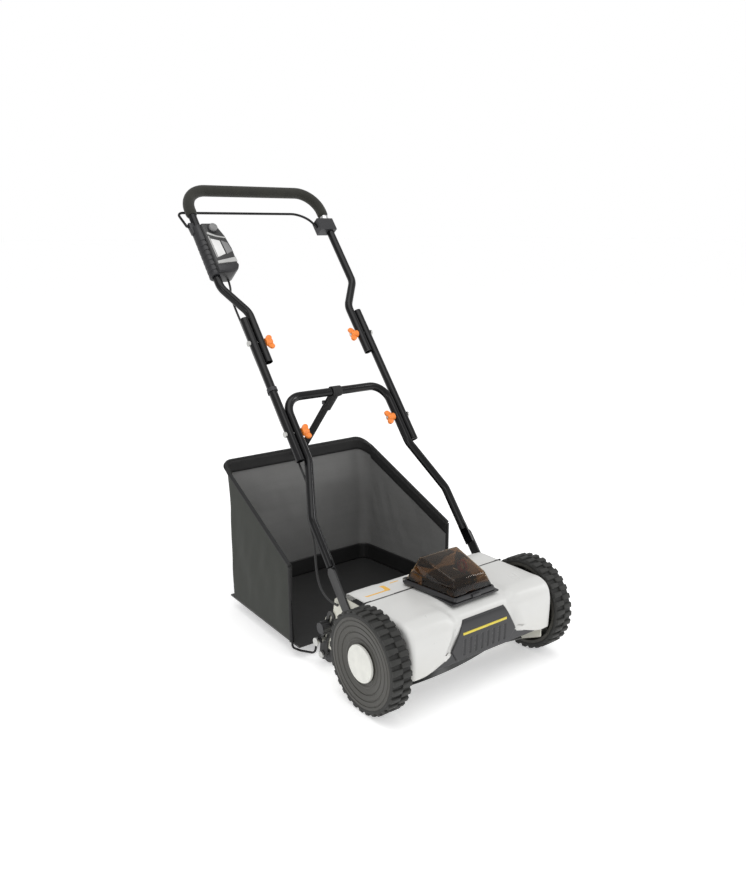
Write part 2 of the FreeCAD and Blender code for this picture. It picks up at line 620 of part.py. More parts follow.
made("roller_brackets", Part.makeCompound(both_sides("roller_bracket", roller_bracket)))
roller_z = "roller_dia / 2"
roller_tube = rod("roller_tube", "roller_dia", "2 * roller_half", "-roller_half", "roller_y", roller_z)
keep(cut("roller_cut", roller_tube, rod("roller_eye", "roller_axle + 2 * run_gap", "2 * roller_half",
                                       "-roller_half", "roller_y", roller_z)), "rear_roller")
axle_half = "(frame_half + plate_thick + fit_gap + arm_thick + 6)"
roller_rod = rod("roller_rod", "roller_axle", "2 * %s" % axle_half, "-%s" % axle_half,
                 "roller_y", roller_z)
nuts = [rod("roller_nut_%d" % (s + 2), "roller_axle + 7", "5",
            side_x(s, axle_half, "5"), "roller_y", roller_z) for s in (-1, 1)]
keep(fuse("roller_axle_nuts", roller_rod, *nuts), "roller_axle")


def chassis_pins(side):
    """Studs fixed in a side plate: for the height knob, the bracket and the catcher's hook."""
    word = "l" if side < 0 else "r"
    root = "frame_half"
    stud = rod("stud_" + word, "stud_dia", "plate_thick + fit_gap + arm_thick + 16",
               side_x(side, root + " + plate_thick + fit_gap + arm_thick + 16",
                      "plate_thick + fit_gap + arm_thick + 16"), "knob_y", "knob_z")
    pin = rod("pin_" + word, "stud_dia", "plate_thick + 2 * fit_gap + arm_thick",
              side_x(side, root + " + plate_thick + 2 * fit_gap + arm_thick",
                     "plate_thick + 2 * fit_gap + arm_thick"), "pin_y", "pin_z")
    head = rod("pin_head_" + word, "pin_dia", "22",
               side_x(side, root + " + plate_thick + 2 * fit_gap + arm_thick + 22", "22"),
               "pin_y", "pin_z")
    flare = rod("pin_end_" + word, "pin_dia + 8", "3",
                side_x(side, root + " + plate_thick + 2 * fit_gap + arm_thick + 22", "3"),
                "pin_y", "pin_z")
    return stud, fuse("pin_all_" + word, pin, head, flare)


stud_left, pin_left = chassis_pins(-1)
stud_right, pin_right = chassis_pins(1)
studs = [stud_left, stud_right, pin_left, pin_right]


def height_knob(name, side):
    """A lobed clamp knob on the height stud."""
    low = dim.frame_half + dim.plate_thick + 2 * dim.fit_gap + dim.arm_thick
    x = low if side > 0 else -low - dim.height_knob_thick
    centre = V(x, dim.knob_y, dim.knob_z)
    knob = Part.makeCylinder(dim.height_knob_dia / 2 - 3, dim.height_knob_thick, centre, V(1, 0, 0))
    for k in range(5):
        angle = math.radians(72 * k + 18)
        lobe = V(0, math.cos(angle), math.sin(angle)) * (dim.height_knob_dia / 2 - 4.5)
        knob = knob.fuse(Part.makeCylinder(4.5, dim.height_knob_thick - 4,
                                           centre + lobe + V(2, 0, 0), V(1, 0, 0)))
    bore = Part.makeCylinder(dim.stud_dia / 2 + dim.run_gap, 17,
                             centre + V(0 if side > 0 else dim.height_knob_thick - 17, 0, 0),
                             V(1, 0, 0))
    made(name, knob.cut(bore).removeSplitter())


both_sides("height_knob", height_knob)

# ---------------------------------------------------------------- handle
# Three tube sections fold on two pairs of bolts. Every piece is drawn flat, then tipped up.
handle_base = V(0, dim.pivot_y, dim.pivot_z)
handle_turn = FreeCAD.Rotation(V(1, 0, 0), dim.handle_angle)
middle_half = dim.leg_half + dim.tube_dia + dim.fit_gap
tube_r = dim.tube_dia / 2


def on_handle(label, shape):
    return made(label, shape, handle_base, handle_turn)


def hollow(points, radii, outer, inner):
    path = route(points, radii)
    return round_bar(path, outer).cut(round_bar(path, inner))


def cross_hole(along, dia):
    """A bore right across the handle, on the line of a fold."""
    return Part.makeCylinder(dia / 2, 500, V(-250, along, 0), V(1, 0, 0))


def mirrored_route(half_points):
    """A route that runs up the left side and down the right."""
    return half_points + [V(-p.x, p.y, p.z) for p in reversed(half_points)]


bolt_hole = dim.bolt_dia + 2 * dim.run_gap
left_leg = [V(-dim.foot_half, dim.flat_at, 0), V(-dim.foot_half, dim.flare_low, 0),
            V(-dim.leg_half, dim.flare_top, 0), V(-dim.leg_half, dim.cross_bar, 0)]
lower_points = mirrored_route(left_leg)
lower_radii = [40, 40, dim.loop_corner, dim.loop_corner, 40, 40]
lower_tube = hollow(lower_points, lower_radii, tube_r, tube_r - dim.tube_wall)
lower_tube = lower_tube.cut(cross_hole(dim.fold_low, bolt_hole))
for foot_side in (-1, 1):
    flat_x = foot_side * dim.foot_half - 1.7
    flat = Part.makeBox(3.4, 46, dim.plate_wide, V(flat_x, dim.flat_at - 34, -dim.plate_wide / 2))
    lower_tube = lower_tube.fuse(flat)
on_handle("lower_handle", lower_tube.removeSplitter())


def foot_plate(name, side):
    """A flat steel foot from the pivot up to the tube's pressed end, outside it."""
    low = dim.foot_half + 2.0
    x = low if side > 0 else -low - dim.plate_thick
    half = dim.plate_wide / 2
    bar = slotted(V(0, 0, 0), V(0, dim.flat_at - half - 2, 0), half, dim.plate_thick, x)
    bar = bar.cut(Part.makeCylinder(dim.stud_dia / 2 + dim.run_gap, 20, V(x - 5, 0, 0), V(1, 0, 0)))
    return bar


on_handle("handle_feet", Part.makeCompound(both_sides("foot", foot_plate)))


def pivot_bolt(name, side):
    """The bolt that the handle turns on, with a round cap outside the foot."""
    inner = dim.frame_half
    foot = dim.foot_half + 2.0
    face = foot + dim.plate_thick + dim.fit_gap
    x = inner if side > 0 else -face
    bolt = Part.makeCylinder(dim.stud_dia / 2, face - inner, V(x, 0, 0), V(1, 0, 0))
    cap_x = face if side > 0 else -face - 5
    cap = Part.makeCylinder(9, 5, V(cap_x, 0, 0), V(1, 0, 0))
    return bolt.fuse(cap).removeSplitter()


for bolt_name, bolt_shape in (("left", pivot_bolt("left", -1)), ("right", pivot_bolt("right", 1))):
    bolt = doc.addObject("Part::Feature", "pivot_bolt_" + bolt_name)
    bolt.Shape = bolt_shape
    bolt.Placement = FreeCAD.Placement(handle_base, NO_TURN)
    studs.append(bolt)
keep(group("side_studs", *studs), "side_plate_studs")


def middle_tube(name, side):
    ends = [V(side * middle_half, along, 0) for along in (dim.middle_low, dim.middle_high)]
    path = Part.Wire(Part.LineSegment(*ends).toShape())
    tube = round_bar(path, tube_r).cut(round_bar(path, tube_r - dim.tube_wall))
    for along in (dim.fold_low, dim.fold_high):
        tube = tube.cut(cross_hole(along, bolt_hole))
    return tube


on_handle("middle_tubes", Part.makeCompound(both_sides("middle_tube", middle_tube)))

upper_leg = [V(-dim.leg_half, dim.upper_end, 0), V(-dim.leg_half, dim.upper_bend, 0),
             V(-dim.grip_half, dim.upper_flare, 0), V(-dim.grip_half, dim.handle_long, 0)]
upper_points = mirrored_route(upper_leg)
upper_radii = [40, 40, dim.grip_corner, dim.grip_corner, 40, 40]
upper_tube = hollow(upper_points, upper_radii, tube_r, tube_r - dim.tube_wall)
on_handle("upper_handle", upper_tube.cut(cross_hole(dim.fold_high, bolt_hole)))
grip_points = mirrored_route([V(-dim.grip_half, dim.grip_start, 0),
                              V(-dim.grip_half, dim.handle_long, 0)])
on_handle("foam_grip", hollow(grip_points, [dim.grip_corner] * 2, dim.foam_dia / 2,
                              tube_r + dim.fit_gap))


def fold_bolts(label, along):
    """A pair of carriage bolts across the two tubes of a fold."""
    bolts = []
    head_at = middle_half + tube_r + dim.fit_gap
    tail_at = dim.leg_half - tube_r - dim.wing_hub + 1
    for side in (-1, 1):
        shank = Part.makeCylinder(dim.bolt_dia / 2, head_at - tail_at, V(tail_at, along, 0), V(1, 0, 0))
        head = Part.makeCylinder(6.5, 4, V(head_at, along, 0), V(1, 0, 0))
        bolt = shank.fuse(head).removeSplitter()
        bolts.append(bolt if side > 0 else bolt.mirror(V(0, 0, 0), V(1, 0, 0)))
    on_handle(label, Part.makeCompound(bolts))


fold_bolts("fold_bolts_low", dim.fold_low)
fold_bolts("fold_bolts_high", dim.fold_high)


def wing_knob(side, along, word):
    """A winged nut: a round hub with two blades, on the inner end of a fold bolt."""
    far = dim.leg_half - tube_r - dim.fit_gap
    near = far - dim.wing_hub
    hub = Part.makeCone(9, 7, dim.wing_hub, V(far, along, 0), V(-1, 0, 0))
    wing = Part.makeBox(dim.wing_hub - 3, dim.wing_wide, 6,
                        V(near - 4, along - dim.wing_wide / 2, -3))
    knob = hub.fuse(wing)
    bore = Part.makeCylinder(dim.bolt_dia / 2 + dim.run_gap, dim.wing_hub - 0.6,
                             V(near + 0.6, along, 0), V(1, 0, 0))
    knob = knob.cut(bore).removeSplitter()
    on_handle("wing_knob_" + word, knob if side > 0 else knob.mirror(V(0, 0, 0), V(1, 0, 0)))


for low_word, low_along in (("low", dim.fold_low), ("high", dim.fold_high)):
    for knob_side, side_word in ((-1, "left"), (1, "right")):
        wing_knob(knob_side, low_along, low_word + "_" + side_word)

# ---------------------------------------------------------------- controls
# The switch box clamps round the left leg; the bail turns in its ear and in a block on the right.
box_long = dim.box_high - dim.box_low
leg_x = -dim.grip_half
case = Part.makeBox(dim.grip_half - dim.box_inner, box_long, dim.box_deep,
                    V(leg_x, dim.box_low, -dim.box_deep / 2))
case = case.makeFillet(8, [e for e in case.Edges if abs(e.tangentAt(e.FirstParameter).y) > 0.9])
sleeve = Part.makeCylinder(dim.sleeve_dia / 2, box_long, V(leg_x, dim.box_low, 0), V(0, 1, 0))
bore = Part.makeCylinder(tube_r + dim.fit_gap, box_long + 60, V(leg_x, dim.box_low - 20, 0), V(0, 1, 0))
ear_x = -dim.bail_left + dim.bail_dia / 2 + dim.fit_gap
ear = Part.makeBox(leg_x - dim.sleeve_dia / 2 + 6 - ear_x, 30, 12,
                   V(ear_x, dim.bail_pivot - 22, -6))
ear_hole = Part.makeCylinder(dim.bail_dia / 2 + dim.run_gap, 30, V(ear_x - 5, dim.bail_pivot, 0),
                             V(1, 0, 0))
lock_well = Part.makeCylinder(dim.lock_dia / 2 + dim.run_gap, 12,
                              V(leg_x + 22, dim.box_high - 17, dim.box_deep / 2 - 12), V(0, 0, 1))
ear_neck = Part.makeBox(8, 30, 12, V(leg_x - dim.sleeve_dia / 2 + 0.5, dim.bail_pivot - 22 - 15, -6))
case = case.fuse([sleeve, ear, ear_neck]).cut(bore).cut(ear_hole).cut(lock_well)
on_handle("switch_box", case.removeSplitter())
on_handle("lock_button", Part.makeCylinder(dim.lock_dia / 2, 15,
                                           V(leg_x + 22, dim.box_high - 17, dim.box_deep / 2 - 7),
                                           V(0, 0, 1)))
block_x = dim.bail_right + dim.bail_dia / 2 + dim.fit_gap
block = Part.makeBox(dim.grip_half - tube_r - dim.fit_gap - block_x + 24, 34, 26,
                     V(block_x, dim.bail_pivot - 17, -13))
block = block.cut(Part.makeCylinder(tube_r + dim.fit_gap, 60, V(dim.grip_half, dim.bail_pivot - 30, 0),
                                    V(0, 1, 0)))
block = block.cut(Part.makeCylinder(dim.bail_dia / 2 + dim.run_gap, 14,
                                    V(block_x - 1, dim.bail_pivot, 0), V(1, 0, 0)))
on_handle("bail_block", block)

lean = math.radians(dim.bail_rest)
bail_way = V(0, math.cos(lean), -math.sin(lean))
pivot_left = V(-dim.bail_left, dim.bail_pivot, 0)
pivot_right = V(dim.bail_right, dim.bail_pivot, 0)
bail_path = route([pivot_left + V(9, 0, 0), pivot_left, pivot_left + bail_way * dim.bail_reach,
                   pivot_right + bail_way * dim.bail_reach, pivot_right,
                   pivot_right + V(12, 0, 0)], [3.2, 16, 44, 3.2])
on_handle("bail_lever", round_bar(bail_path, dim.bail_dia / 2))

# ---------------------------------------------------------------- cable
# The lead runs from the switch box down the back of the left tubes and into the side plate.
# It is made in three lengths that meet under clips, one for each fold that it crosses.
behind = -(tube_r + dim.cable_dia / 2 + 0.6)
cable_r = dim.cable_dia / 2
cable_x = -(middle_half + 1)
clip_high, clip_low = (dim.fold_low + dim.fold_high) / 2 - 6, 296.0
clip_low_x = -(dim.leg_half + (dim.flare_top - clip_low) * 0.36)
upper_run = [V(-150, dim.box_low - 0.3, -12), V(-150.6, dim.box_low - 16, -12.6),
             V(-156, dim.box_low - 34, -15.5), V(-159.5, dim.box_low - 62, behind - 3),
             V(cable_x, 700, behind - 1), V(cable_x + 1, 655, behind - 2),
             V(cable_x, 618, behind - 1), V(cable_x, 572, behind), V(cable_x, clip_high, behind)]
middle_run = [upper_run[-1], V(cable_x, 478, behind), V(cable_x + 2, 438, behind - 4),
              V(cable_x + 5, 392, behind - 4), V(cable_x + 4, 345, behind - 2),
              V(clip_low_x, clip_low, behind)]
made_runs = []
for label, run in (("cable_upper", upper_run), ("cable_middle", middle_run)):
    path = route(run, cable_radii(run))
    on_handle(label, round_bar(path, cable_r))
onward = (middle_run[-1] - middle_run[-2]) * 0.75
foot_run = [middle_run[-1], middle_run[-1] + onward,
            V(-dim.foot_half + 2, dim.flare_low + 8, behind - 2),
            V(-dim.foot_half - 3, 172, behind - 7), V(-dim.foot_half - 9, 138, behind - 19),
            V(-dim.foot_half - 14, 108, behind - 27), V(-dim.foot_half - 17, 80, behind - 28),
            V(-dim.foot_half - 15, 56, behind - 22), V(-dim.foot_half - 9, 40, behind - 15),
            V(-dim.foot_half - 4, 32, behind - 10)]
path = route(foot_run, cable_radii(foot_run))
on_handle("cable_lower", round_bar(path, cable_r))


def cable_clip(along, tube_x, line_x, out):
    """A sprung ring round the tube with a small eye for the lead."""
    ring = Part.makeCylinder(tube_r + 2.2, 9, V(tube_x, along - 4.5, 0), V(0, 1, 0))
    eye = Part.makeCylinder(cable_r + 2.2, 9, V(line_x, along - 4.5, out), V(0, 1, 0))
    solid = ring.fuse(eye)
    solid = solid.cut(Part.makeCylinder(tube_r + 0.3, 9, V(tube_x, along - 4.5, 0), V(0, 1, 0)))
    solid = solid.cut(Part.makeCylinder(cable_r + 0.6, 9, V(line_x, along - 4.5, out), V(0, 1, 0)))
    return solid.removeSplitter()


on_handle("cable_clip_middle", cable_clip(clip_high, -middle_half, cable_x, behind))

# ---------------------------------------------------------------- grass catcher
# A fabric box, open in front and on top, on a wire frame with a moulded floor.
bag_plan = plate("bag_plan", "XY_Plane",
                 [("-bag_front_half", "bag_front"), ("bag_front_half", "bag_front"),
                  ("bag_back_half", "rim_reach - corner_cut"),
                  ("bag_back_half - corner_cut", "rim_reach"),
                  ("-bag_back_half + corner_cut", "rim_reach"),
                  ("-bag_back_half", "rim_reach - corner_cut")],
                 "rim_high", z="bag_floor")
bag_side = plate("bag_side", "YZ_Plane",
                 [("bag_front", "bag_floor"), ("bag_back", "bag_floor"), ("bag_back", "flare_z"),
                  ("rim_reach", "rim_high"), ("bag_front", "rim_low")], "2 * bag_front_half",
                 "-bag_front_half")
room_plan = plate("room_plan", "XY_Plane",
                  [("-bag_front_half + bag_wall", "bag_front - 20"),
                   ("bag_front_half - bag_wall", "bag_front - 20"),
                   ("bag_back_half - bag_wall", "rim_reach - corner_cut - 1"),
                   ("bag_back_half - corner_cut - 1", "rim_reach - bag_wall"),
                   ("-bag_back_half + corner_cut + 1", "rim_reach - bag_wall"),
                   ("-bag_back_half + bag_wall", "rim_reach - corner_cut - 1")], "rim_high + 40",
                  z="bag_floor - 20")
room_side = plate("room_side", "YZ_Plane",
                  [("bag_front - 20", "bag_floor - 10"), ("bag_back - bag_wall", "bag_floor - 10"),
                   ("bag_back - bag_wall", "flare_z"), ("rim_reach - bag_wall + 5", "rim_high + 27"),
                   ("bag_front - 20", "rim_low + 40")], "2 * bag_front_half", "-bag_front_half")
bag = cut("bag", common("bag_form", bag_plan, bag_side), common("bag_room", room_plan, room_side))
keep(bag, "catcher_bag")

floor_plan = plate("floor_plan", "XY_Plane",
                   [("-bag_front_half", "bag_front - 26"), ("bag_front_half", "bag_front - 26"),
                    ("bag_back_half", "bag_back"), ("-bag_back_half", "bag_back")], "floor_thick",
                   z="bag_floor - fit_gap - floor_thick")
keep(floor_plan, "catcher_floor")


def catcher_wire():
    """The frame: a rim, two front posts and, at each post's foot, a hook over the catcher pin."""
    gap = dim.fit_gap + dim.wire_dia / 2
    front_x, back_x = dim.bag_front_half + gap, dim.bag_back_half + gap
    hook_x = dim.frame_half + dim.plate_thick + dim.arm_thick + 13
    over = dim.pin_dia / 2 + dim.wire_dia / 2 + 0.5
    side = [V(hook_x, dim.pin_y - over, dim.pin_z - 1),
            V(hook_x, dim.pin_y - over, dim.pin_z + over),
            V(hook_x, dim.pin_y + over, dim.pin_z + over),
            V(hook_x + 1, dim.pin_y + over + 6, dim.pin_z - 34),
            V(hook_x + 10, dim.bag_front - 20, 16),
            V(front_x, dim.bag_front - 4, 20),
            V(front_x, dim.bag_front, dim.rim_low),
            V(back_x, dim.rim_reach + gap, dim.rim_high)]
    points = side + [V(-p.x, p.y, p.z) for p in reversed(side)]
    bends = [over - 0.6, over - 0.6, 16, 16, 8, 12, 26]
    return round_bar(route(points, bends + bends[::-1]), dim.wire_dia / 2)


made("catcher_frame", catcher_wire())


def strap_shape():
    """Webbing: a loop round the cross bar and a single band down to the catcher's rear rim."""
    lean_y, lean_z = math.cos(math.radians(dim.handle_angle)), math.sin(math.radians(dim.handle_angle))
    bar = V(0, dim.pivot_y + dim.cross_bar * lean_y, dim.pivot_z + dim.cross_bar * lean_z)
    end = V(0, dim.rim_reach - dim.bag_wall - 8, dim.rim_high - 14)
    way = (end - bar).normalize()
    over = way.cross(V(1, 0, 0)) * (dim.strap_thick / 2)
    x = -dim.strap_wide / 2
    inner = tube_r + dim.fit_gap
    eye_end = bar + way * inner
    band = Part.Face(Part.makePolygon([eye_end + over, end + over, end - over, eye_end - over,
                                       eye_end + over])).extrude(V(dim.strap_wide, 0, 0))
    band.translate(V(x, 0, 0))
    ring = Part.makeCylinder(inner + dim.strap_thick, dim.strap_wide, bar + V(x, 0, 0), V(1, 0, 0))
    bore = Part.makeCylinder(inner, dim.strap_wide, bar + V(x, 0, 0), V(1, 0, 0))
    return band.fuse(ring).cut(bore).removeSplitter()


made("hanger_strap", strap_shape())

# ---------------------------------------------------------------- checks and files
doc.recompute()
faults = [o.Name for o in doc.Objects if {"Invalid", "Error"} & set(o.State)]
for thing in parts:
    if thing.Shape.isNull() or not thing.Shape.isValid() or not thing.Shape.Solids:
        faults.append("%s has no valid solid" % thing.Label)
if faults:
    raise RuntimeError("; ".join(faults))
os.makedirs("parts", exist_ok=True)
for thing in parts:
    thing.Shape.exportStep(os.path.join("parts", thing.Label + ".step"))
print("%d sub-parts written" % len(parts))
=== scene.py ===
import math

import bmesh
import bpy
import numpy as np
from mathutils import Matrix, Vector, noise


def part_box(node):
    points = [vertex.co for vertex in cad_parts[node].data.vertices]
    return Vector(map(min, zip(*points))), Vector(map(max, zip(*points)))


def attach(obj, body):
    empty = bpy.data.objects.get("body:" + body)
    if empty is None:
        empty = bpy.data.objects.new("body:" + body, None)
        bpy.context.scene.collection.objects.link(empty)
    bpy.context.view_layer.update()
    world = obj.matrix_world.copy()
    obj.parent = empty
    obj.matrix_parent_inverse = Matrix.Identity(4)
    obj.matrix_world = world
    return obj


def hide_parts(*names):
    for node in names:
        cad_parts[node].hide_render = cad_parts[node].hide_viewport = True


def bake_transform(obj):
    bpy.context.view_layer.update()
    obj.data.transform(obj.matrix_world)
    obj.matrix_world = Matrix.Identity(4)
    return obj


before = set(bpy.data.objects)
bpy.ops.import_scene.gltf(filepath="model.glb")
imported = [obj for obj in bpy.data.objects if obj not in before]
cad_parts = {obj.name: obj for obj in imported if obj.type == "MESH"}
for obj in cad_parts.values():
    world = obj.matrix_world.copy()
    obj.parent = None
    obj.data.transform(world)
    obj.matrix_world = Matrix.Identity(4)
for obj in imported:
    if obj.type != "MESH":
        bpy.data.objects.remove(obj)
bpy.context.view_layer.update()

# ---------------------------------------------------------------- the room
# A pale seamless studio floor under an even white sky, with three large soft lamps: one over the
# mower, one on its left and a strip on its right that draws the bright line along each tube.


def lamp(name, place, aim, wide, deep, watts):
    """A rectangular soft lamp that shines from place to aim."""
    light = bpy.data.lights.new(name, "AREA")
    light.shape = "RECTANGLE"
    light.size = wide
    light.size_y = deep
    light.energy = watts
    holder = bpy.data.objects.new(name, light)
    holder.location = place
    holder.rotation_mode = "QUATERNION"
    holder.rotation_quaternion = (Vector(aim) - Vector(place)).to_track_quat("-Z", "Y")
    bpy.context.scene.collection.objects.link(holder)


lamp("overhead_lamp", (-0.4, -0.3, 3.2), (0, 0.1, 0.2), 2.6, 2.6, 34)
lamp("left_lamp", (-2.9, -1.6, 1.9), (0, 0.1, 0.4), 1.2, 1.8, 12)
lamp("right_strip", (2.4, -1.4, 1.6), (0, 0.2, 0.5), 0.3, 2.2, 14)

sky = bpy.data.worlds.new("studio_sky")
sky.use_nodes = True
sky_nodes = sky.node_tree
lit = sky_nodes.nodes["Background"]
lit.inputs["Color"].default_value = (1, 1, 1, 1)
lit.inputs["Strength"].default_value = 0.62
seen = sky_nodes.nodes.new("ShaderNodeBackground")
seen.inputs["Color"].default_value = (1, 1, 1, 1)
seen.inputs["Strength"].default_value = 1.0
ray_kind = sky_nodes.nodes.new("ShaderNodeLightPath")
either = sky_nodes.nodes.new("ShaderNodeMixShader")
sky_nodes.links.new(ray_kind.outputs["Is Camera Ray"], either.inputs["Fac"])
sky_nodes.links.new(lit.outputs["Background"], either.inputs[1])
sky_nodes.links.new(seen.outputs["Background"], either.inputs[2])
sky_nodes.links.new(either.outputs["Shader"], sky_nodes.nodes["World Output"].inputs["Surface"])
bpy.context.scene.world = sky
bpy.context.scene.view_settings.view_transform = "Standard"

lens = bpy.data.cameras.new("studio_camera")
lens.lens = 34.48
lens.clip_end = 200
camera = bpy.data.objects.new("studio_camera", lens)
turn, rise = math.radians(-37.82), math.radians(14.43)
backward = Vector((math.sin(turn) * math.cos(rise), -math.cos(turn) * math.cos(rise),
                   math.sin(rise)))
camera.location = (-1.1195, -1.1681, 0.8962)
camera.rotation_mode = "QUATERNION"
camera.rotation_quaternion = (-backward).to_track_quat("-Z", "Y")
bpy.context.scene.collection.objects.link(camera)
bpy.context.scene.camera = camera

ground = bpy.data.meshes.new("studio_floor")
ground.from_pydata([(-60, -60, 0), (60, -60, 0), (60, 60, 0), (-60, 60, 0)], [], [(0, 1, 2, 3)])
studio_floor = bpy.data.objects.new("studio_floor", ground)
studio_floor.location = (0, 0, -0.0006)
bpy.context.scene.collection.objects.link(studio_floor)
paper = bpy.data.materials.new("backdrop_paper")
paper.use_nodes = True
for socket, value in (("Base Color", (0.93, 0.93, 0.93, 1)), ("Roughness", 0.8),
                      ("Emission Color", (1, 1, 1, 1)), ("Emission Strength", 0.42)):
    paper.node_tree.nodes["Principled BSDF"].inputs[socket].default_value = value
ground.materials.append(paper)

# ---------------------------------------------------------------- painted steel tubes and rods
# The handle's tubes, the bail and the catcher's frame are round steel, bent cold and powder
# coated gloss black. The coat has a faint orange peel, and its edges are painted paler grey: partly
# wear where parts rub, partly a painted highlight.


class Wire:
    """An output of a node tree that Python's operators work on, by adding Math nodes."""

    def __init__(self, tree, socket):
        self.tree = tree
        self.socket = socket

    def node(self, kind, settings=(), values=(), output=0):
        """Any node: its settings are set first, then the values or links of its sockets."""
        made = self.tree.nodes.new(kind)
        for name, setting in dict(settings).items():
            setattr(made, name, setting)
        for name, value in dict(values).items():
            if isinstance(value, Wire):
                self.tree.links.new(value.socket, made.inputs[name])
            else:
                made.inputs[name].default_value = value
        return Wire(self.tree, made.outputs[output])

    def maths(self, operation, *values):
        return self.node("ShaderNodeMath", {"operation": operation}, dict(enumerate(values)))

    def __add__(self, other):
        return self.maths("ADD", self, other)

    def __sub__(self, other):
        return self.maths("SUBTRACT", self, other)

    def __rsub__(self, other):
        return self.maths("SUBTRACT", other, self)

    def __mul__(self, other):
        return self.maths("MULTIPLY", self, other)

    def __gt__(self, other):
        return self.maths("GREATER_THAN", self, other)

    __radd__ = __add__
    __rmul__ = __mul__

    def blend(self, first, second):
        """A colour between first and second, by this wire's value."""
        return self.node("ShaderNodeMix", {"data_type": "RGBA"}, {0: self, 6: first, 7: second}, 2)

    def noise(self, scale, detail=2.0, squeeze=(1, 1, 1)):
        """Noise from 0 to 1 at this position, finer along an axis that squeeze makes larger."""
        stretched = self.node("ShaderNodeVectorMath", {"operation": "MULTIPLY"},
                              {0: self, 1: squeeze})
        return self.node("ShaderNodeTexNoise", (),
                         {"Vector": stretched, "Scale": scale, "Detail": detail})


def shade(colour, factor=1.0):
    return (colour[0] * factor, colour[1] * factor, colour[2] * factor, 1)


class Finish:
    """A material with its shader, and the position on the piece that its patterns read."""

    def __init__(self, name, **constants):
        self.material = bpy.data.materials.new(name)
        self.material.use_nodes = True
        self.tree = self.material.node_tree
        self.shader = self.tree.nodes["Principled BSDF"]
        for socket, value in constants.items():
            self.shader.inputs[socket.replace("_", " ")].default_value = value
        start = Wire(self.tree, None)
        self.place = start.node("ShaderNodeTexCoord", (), (), "Object")
        self.wear = start.node("ShaderNodeNewGeometry", (), (), "Pointiness")

    def feed(self, **wires):
        for socket, wire in wires.items():
            self.tree.links.new(wire.socket, self.shader.inputs[socket.replace("_", " ")])

    def bump(self, height, strength, distance):
        relief = height.node("ShaderNodeBump", (), {
            "Height": height, "Strength": strength, "Distance": distance})
        self.feed(Normal=relief)


def coated(name, colour, rough, patch=14, grain=900, depth=0.0002, wear_and_highlight_amount=0.25, **constants):
    """A coated or moulded finish: cloudy colour, grain in the surface, edges painted paler, partly
    as wear and partly as a painted highlight.
    """
    finish = Finish(name, **constants)
    cloud = finish.place.noise(patch, 3)
    fine = finish.place.noise(grain, 3)
    # Pointy edges are painted paler, partly as wear and partly as a painted highlight along the
    # edges.
    edge_wear_and_highlight = finish.wear.node("ShaderNodeMapRange", (), {
        0: finish.wear, 1: 0.54, 2: 0.66, 3: 0.0, 4: wear_and_highlight_amount})
    tone = cloud.blend(shade(colour, 0.86), shade(colour, 1.14))
    finish.feed(Base_Color=edge_wear_and_highlight.blend(tone, shade([min(1, c * 1.5 + 0.03) for c in colour])))
    finish.feed(Roughness=cloud * (rough * 0.3) + fine * (rough * 0.25) + rough * 0.72)
    finish.bump(fine, 0.35, depth)
    return finish.material


def paint(material, *nodes):
    """Put a finish on carried-over parts."""
    for node in nodes:
        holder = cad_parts[node]
        for index in range(len(holder.material_slots)):
            holder.material_slots[index].material = material


gloss_black = coated("gloss_black_coat", (0.004, 0.004, 0.0045), 0.16, 30, 260, 0.00012, 0.1,
                     Specular_IOR_Level=0.3)
paint(gloss_black, "lower_handle", "middle_tubes", "upper_handle", "bail_lever", "catcher_frame")
matt_black = coated("matt_black_coat", (0.016, 0.016, 0.016), 0.42, 40, 500)
paint(matt_black, "handle_feet", "cross_braces", "bed_knife_bar", "motor_bracket",
      "roller_brackets")

# ---------------------------------------------------------------- bright metal
# Bolts, studs, axles and the bed knife are zinc plated or ground steel with fine lines along
# them; the battery's and the reel's small fittings share that finish.


def ground_steel(name, colour, rough, squeeze):
    finish = Finish(name, Metallic=1.0)
    lines = finish.place.noise(60, 4, squeeze)
    dull = finish.place.noise(25, 2)
    finish.feed(Base_Color=lines.blend(shade(colour, 0.75), shade(colour, 1.1)))
    finish.feed(Roughness=dull * 0.25 + lines * 0.15 + rough)
    finish.bump(lines, 0.2, 0.0001)
    return finish.material


plated = ground_steel("plated_steel", (0.60, 0.60, 0.58), 0.18, (1, 12, 12))
paint(plated, "bed_knife", "fold_bolts_low", "fold_bolts_high", "side_plate_studs", "stub_axles",
      "roller_axle", "cover_hinge_pin", "motor_shaft", "reel_bearings", "reel_shaft")
paint(ground_steel("sintered_gear_steel", (0.34, 0.33, 0.31), 0.32, (1, 3, 3)),
      "reel_gear", "idler_gear", "motor_pinion")
paint(ground_steel("motor_can_steel", (0.42, 0.42, 0.42), 0.3, (14, 1, 1)), "motor")
paint(coated("reel_enamel", (0.035, 0.037, 0.036), 0.3, 22, 400), "reel_blades", "reel_discs")

# ---------------------------------------------------------------- wheels
# Each wheel is a black rubber tyre with two staggered rows of moulded lugs on a dished plastic
# disc. Rings stand on the disc's face, six ribs on its back, and a pale cap snaps over the hub.
axle_height = 0.102
bead_radius = 0.0900
lugs_round = 32
six_faces = [(0, 1, 3, 2), (4, 6, 7, 5), (0, 4, 5, 1), (2, 3, 7, 6), (0, 2, 6, 4), (1, 5, 7, 3)]


def new_piece(name, verts, faces, *materials):
    """A smooth-shaded mesh object with its faces pointing outwards."""
    mesh = bpy.data.meshes.new(name)
    mesh.from_pydata([tuple(v) for v in verts], [], faces)
    form = bmesh.new()
    form.from_mesh(mesh)
    bmesh.ops.remove_doubles(form, verts=form.verts, dist=1e-6)
    bmesh.ops.recalc_face_normals(form, faces=form.faces)
    form.to_mesh(mesh)
    form.free()
    for material in materials:
        mesh.materials.append(material)
    piece = bpy.data.objects.new(name, mesh)
    bpy.context.scene.collection.objects.link(piece)
    crisp(piece, 38)
    return piece


def crisp(piece, degrees):
    """Smooth shading, with edges sharper than this angle kept sharp."""
    piece.data.shade_smooth()
    piece.data.set_sharp_from_angle(angle=math.radians(degrees))


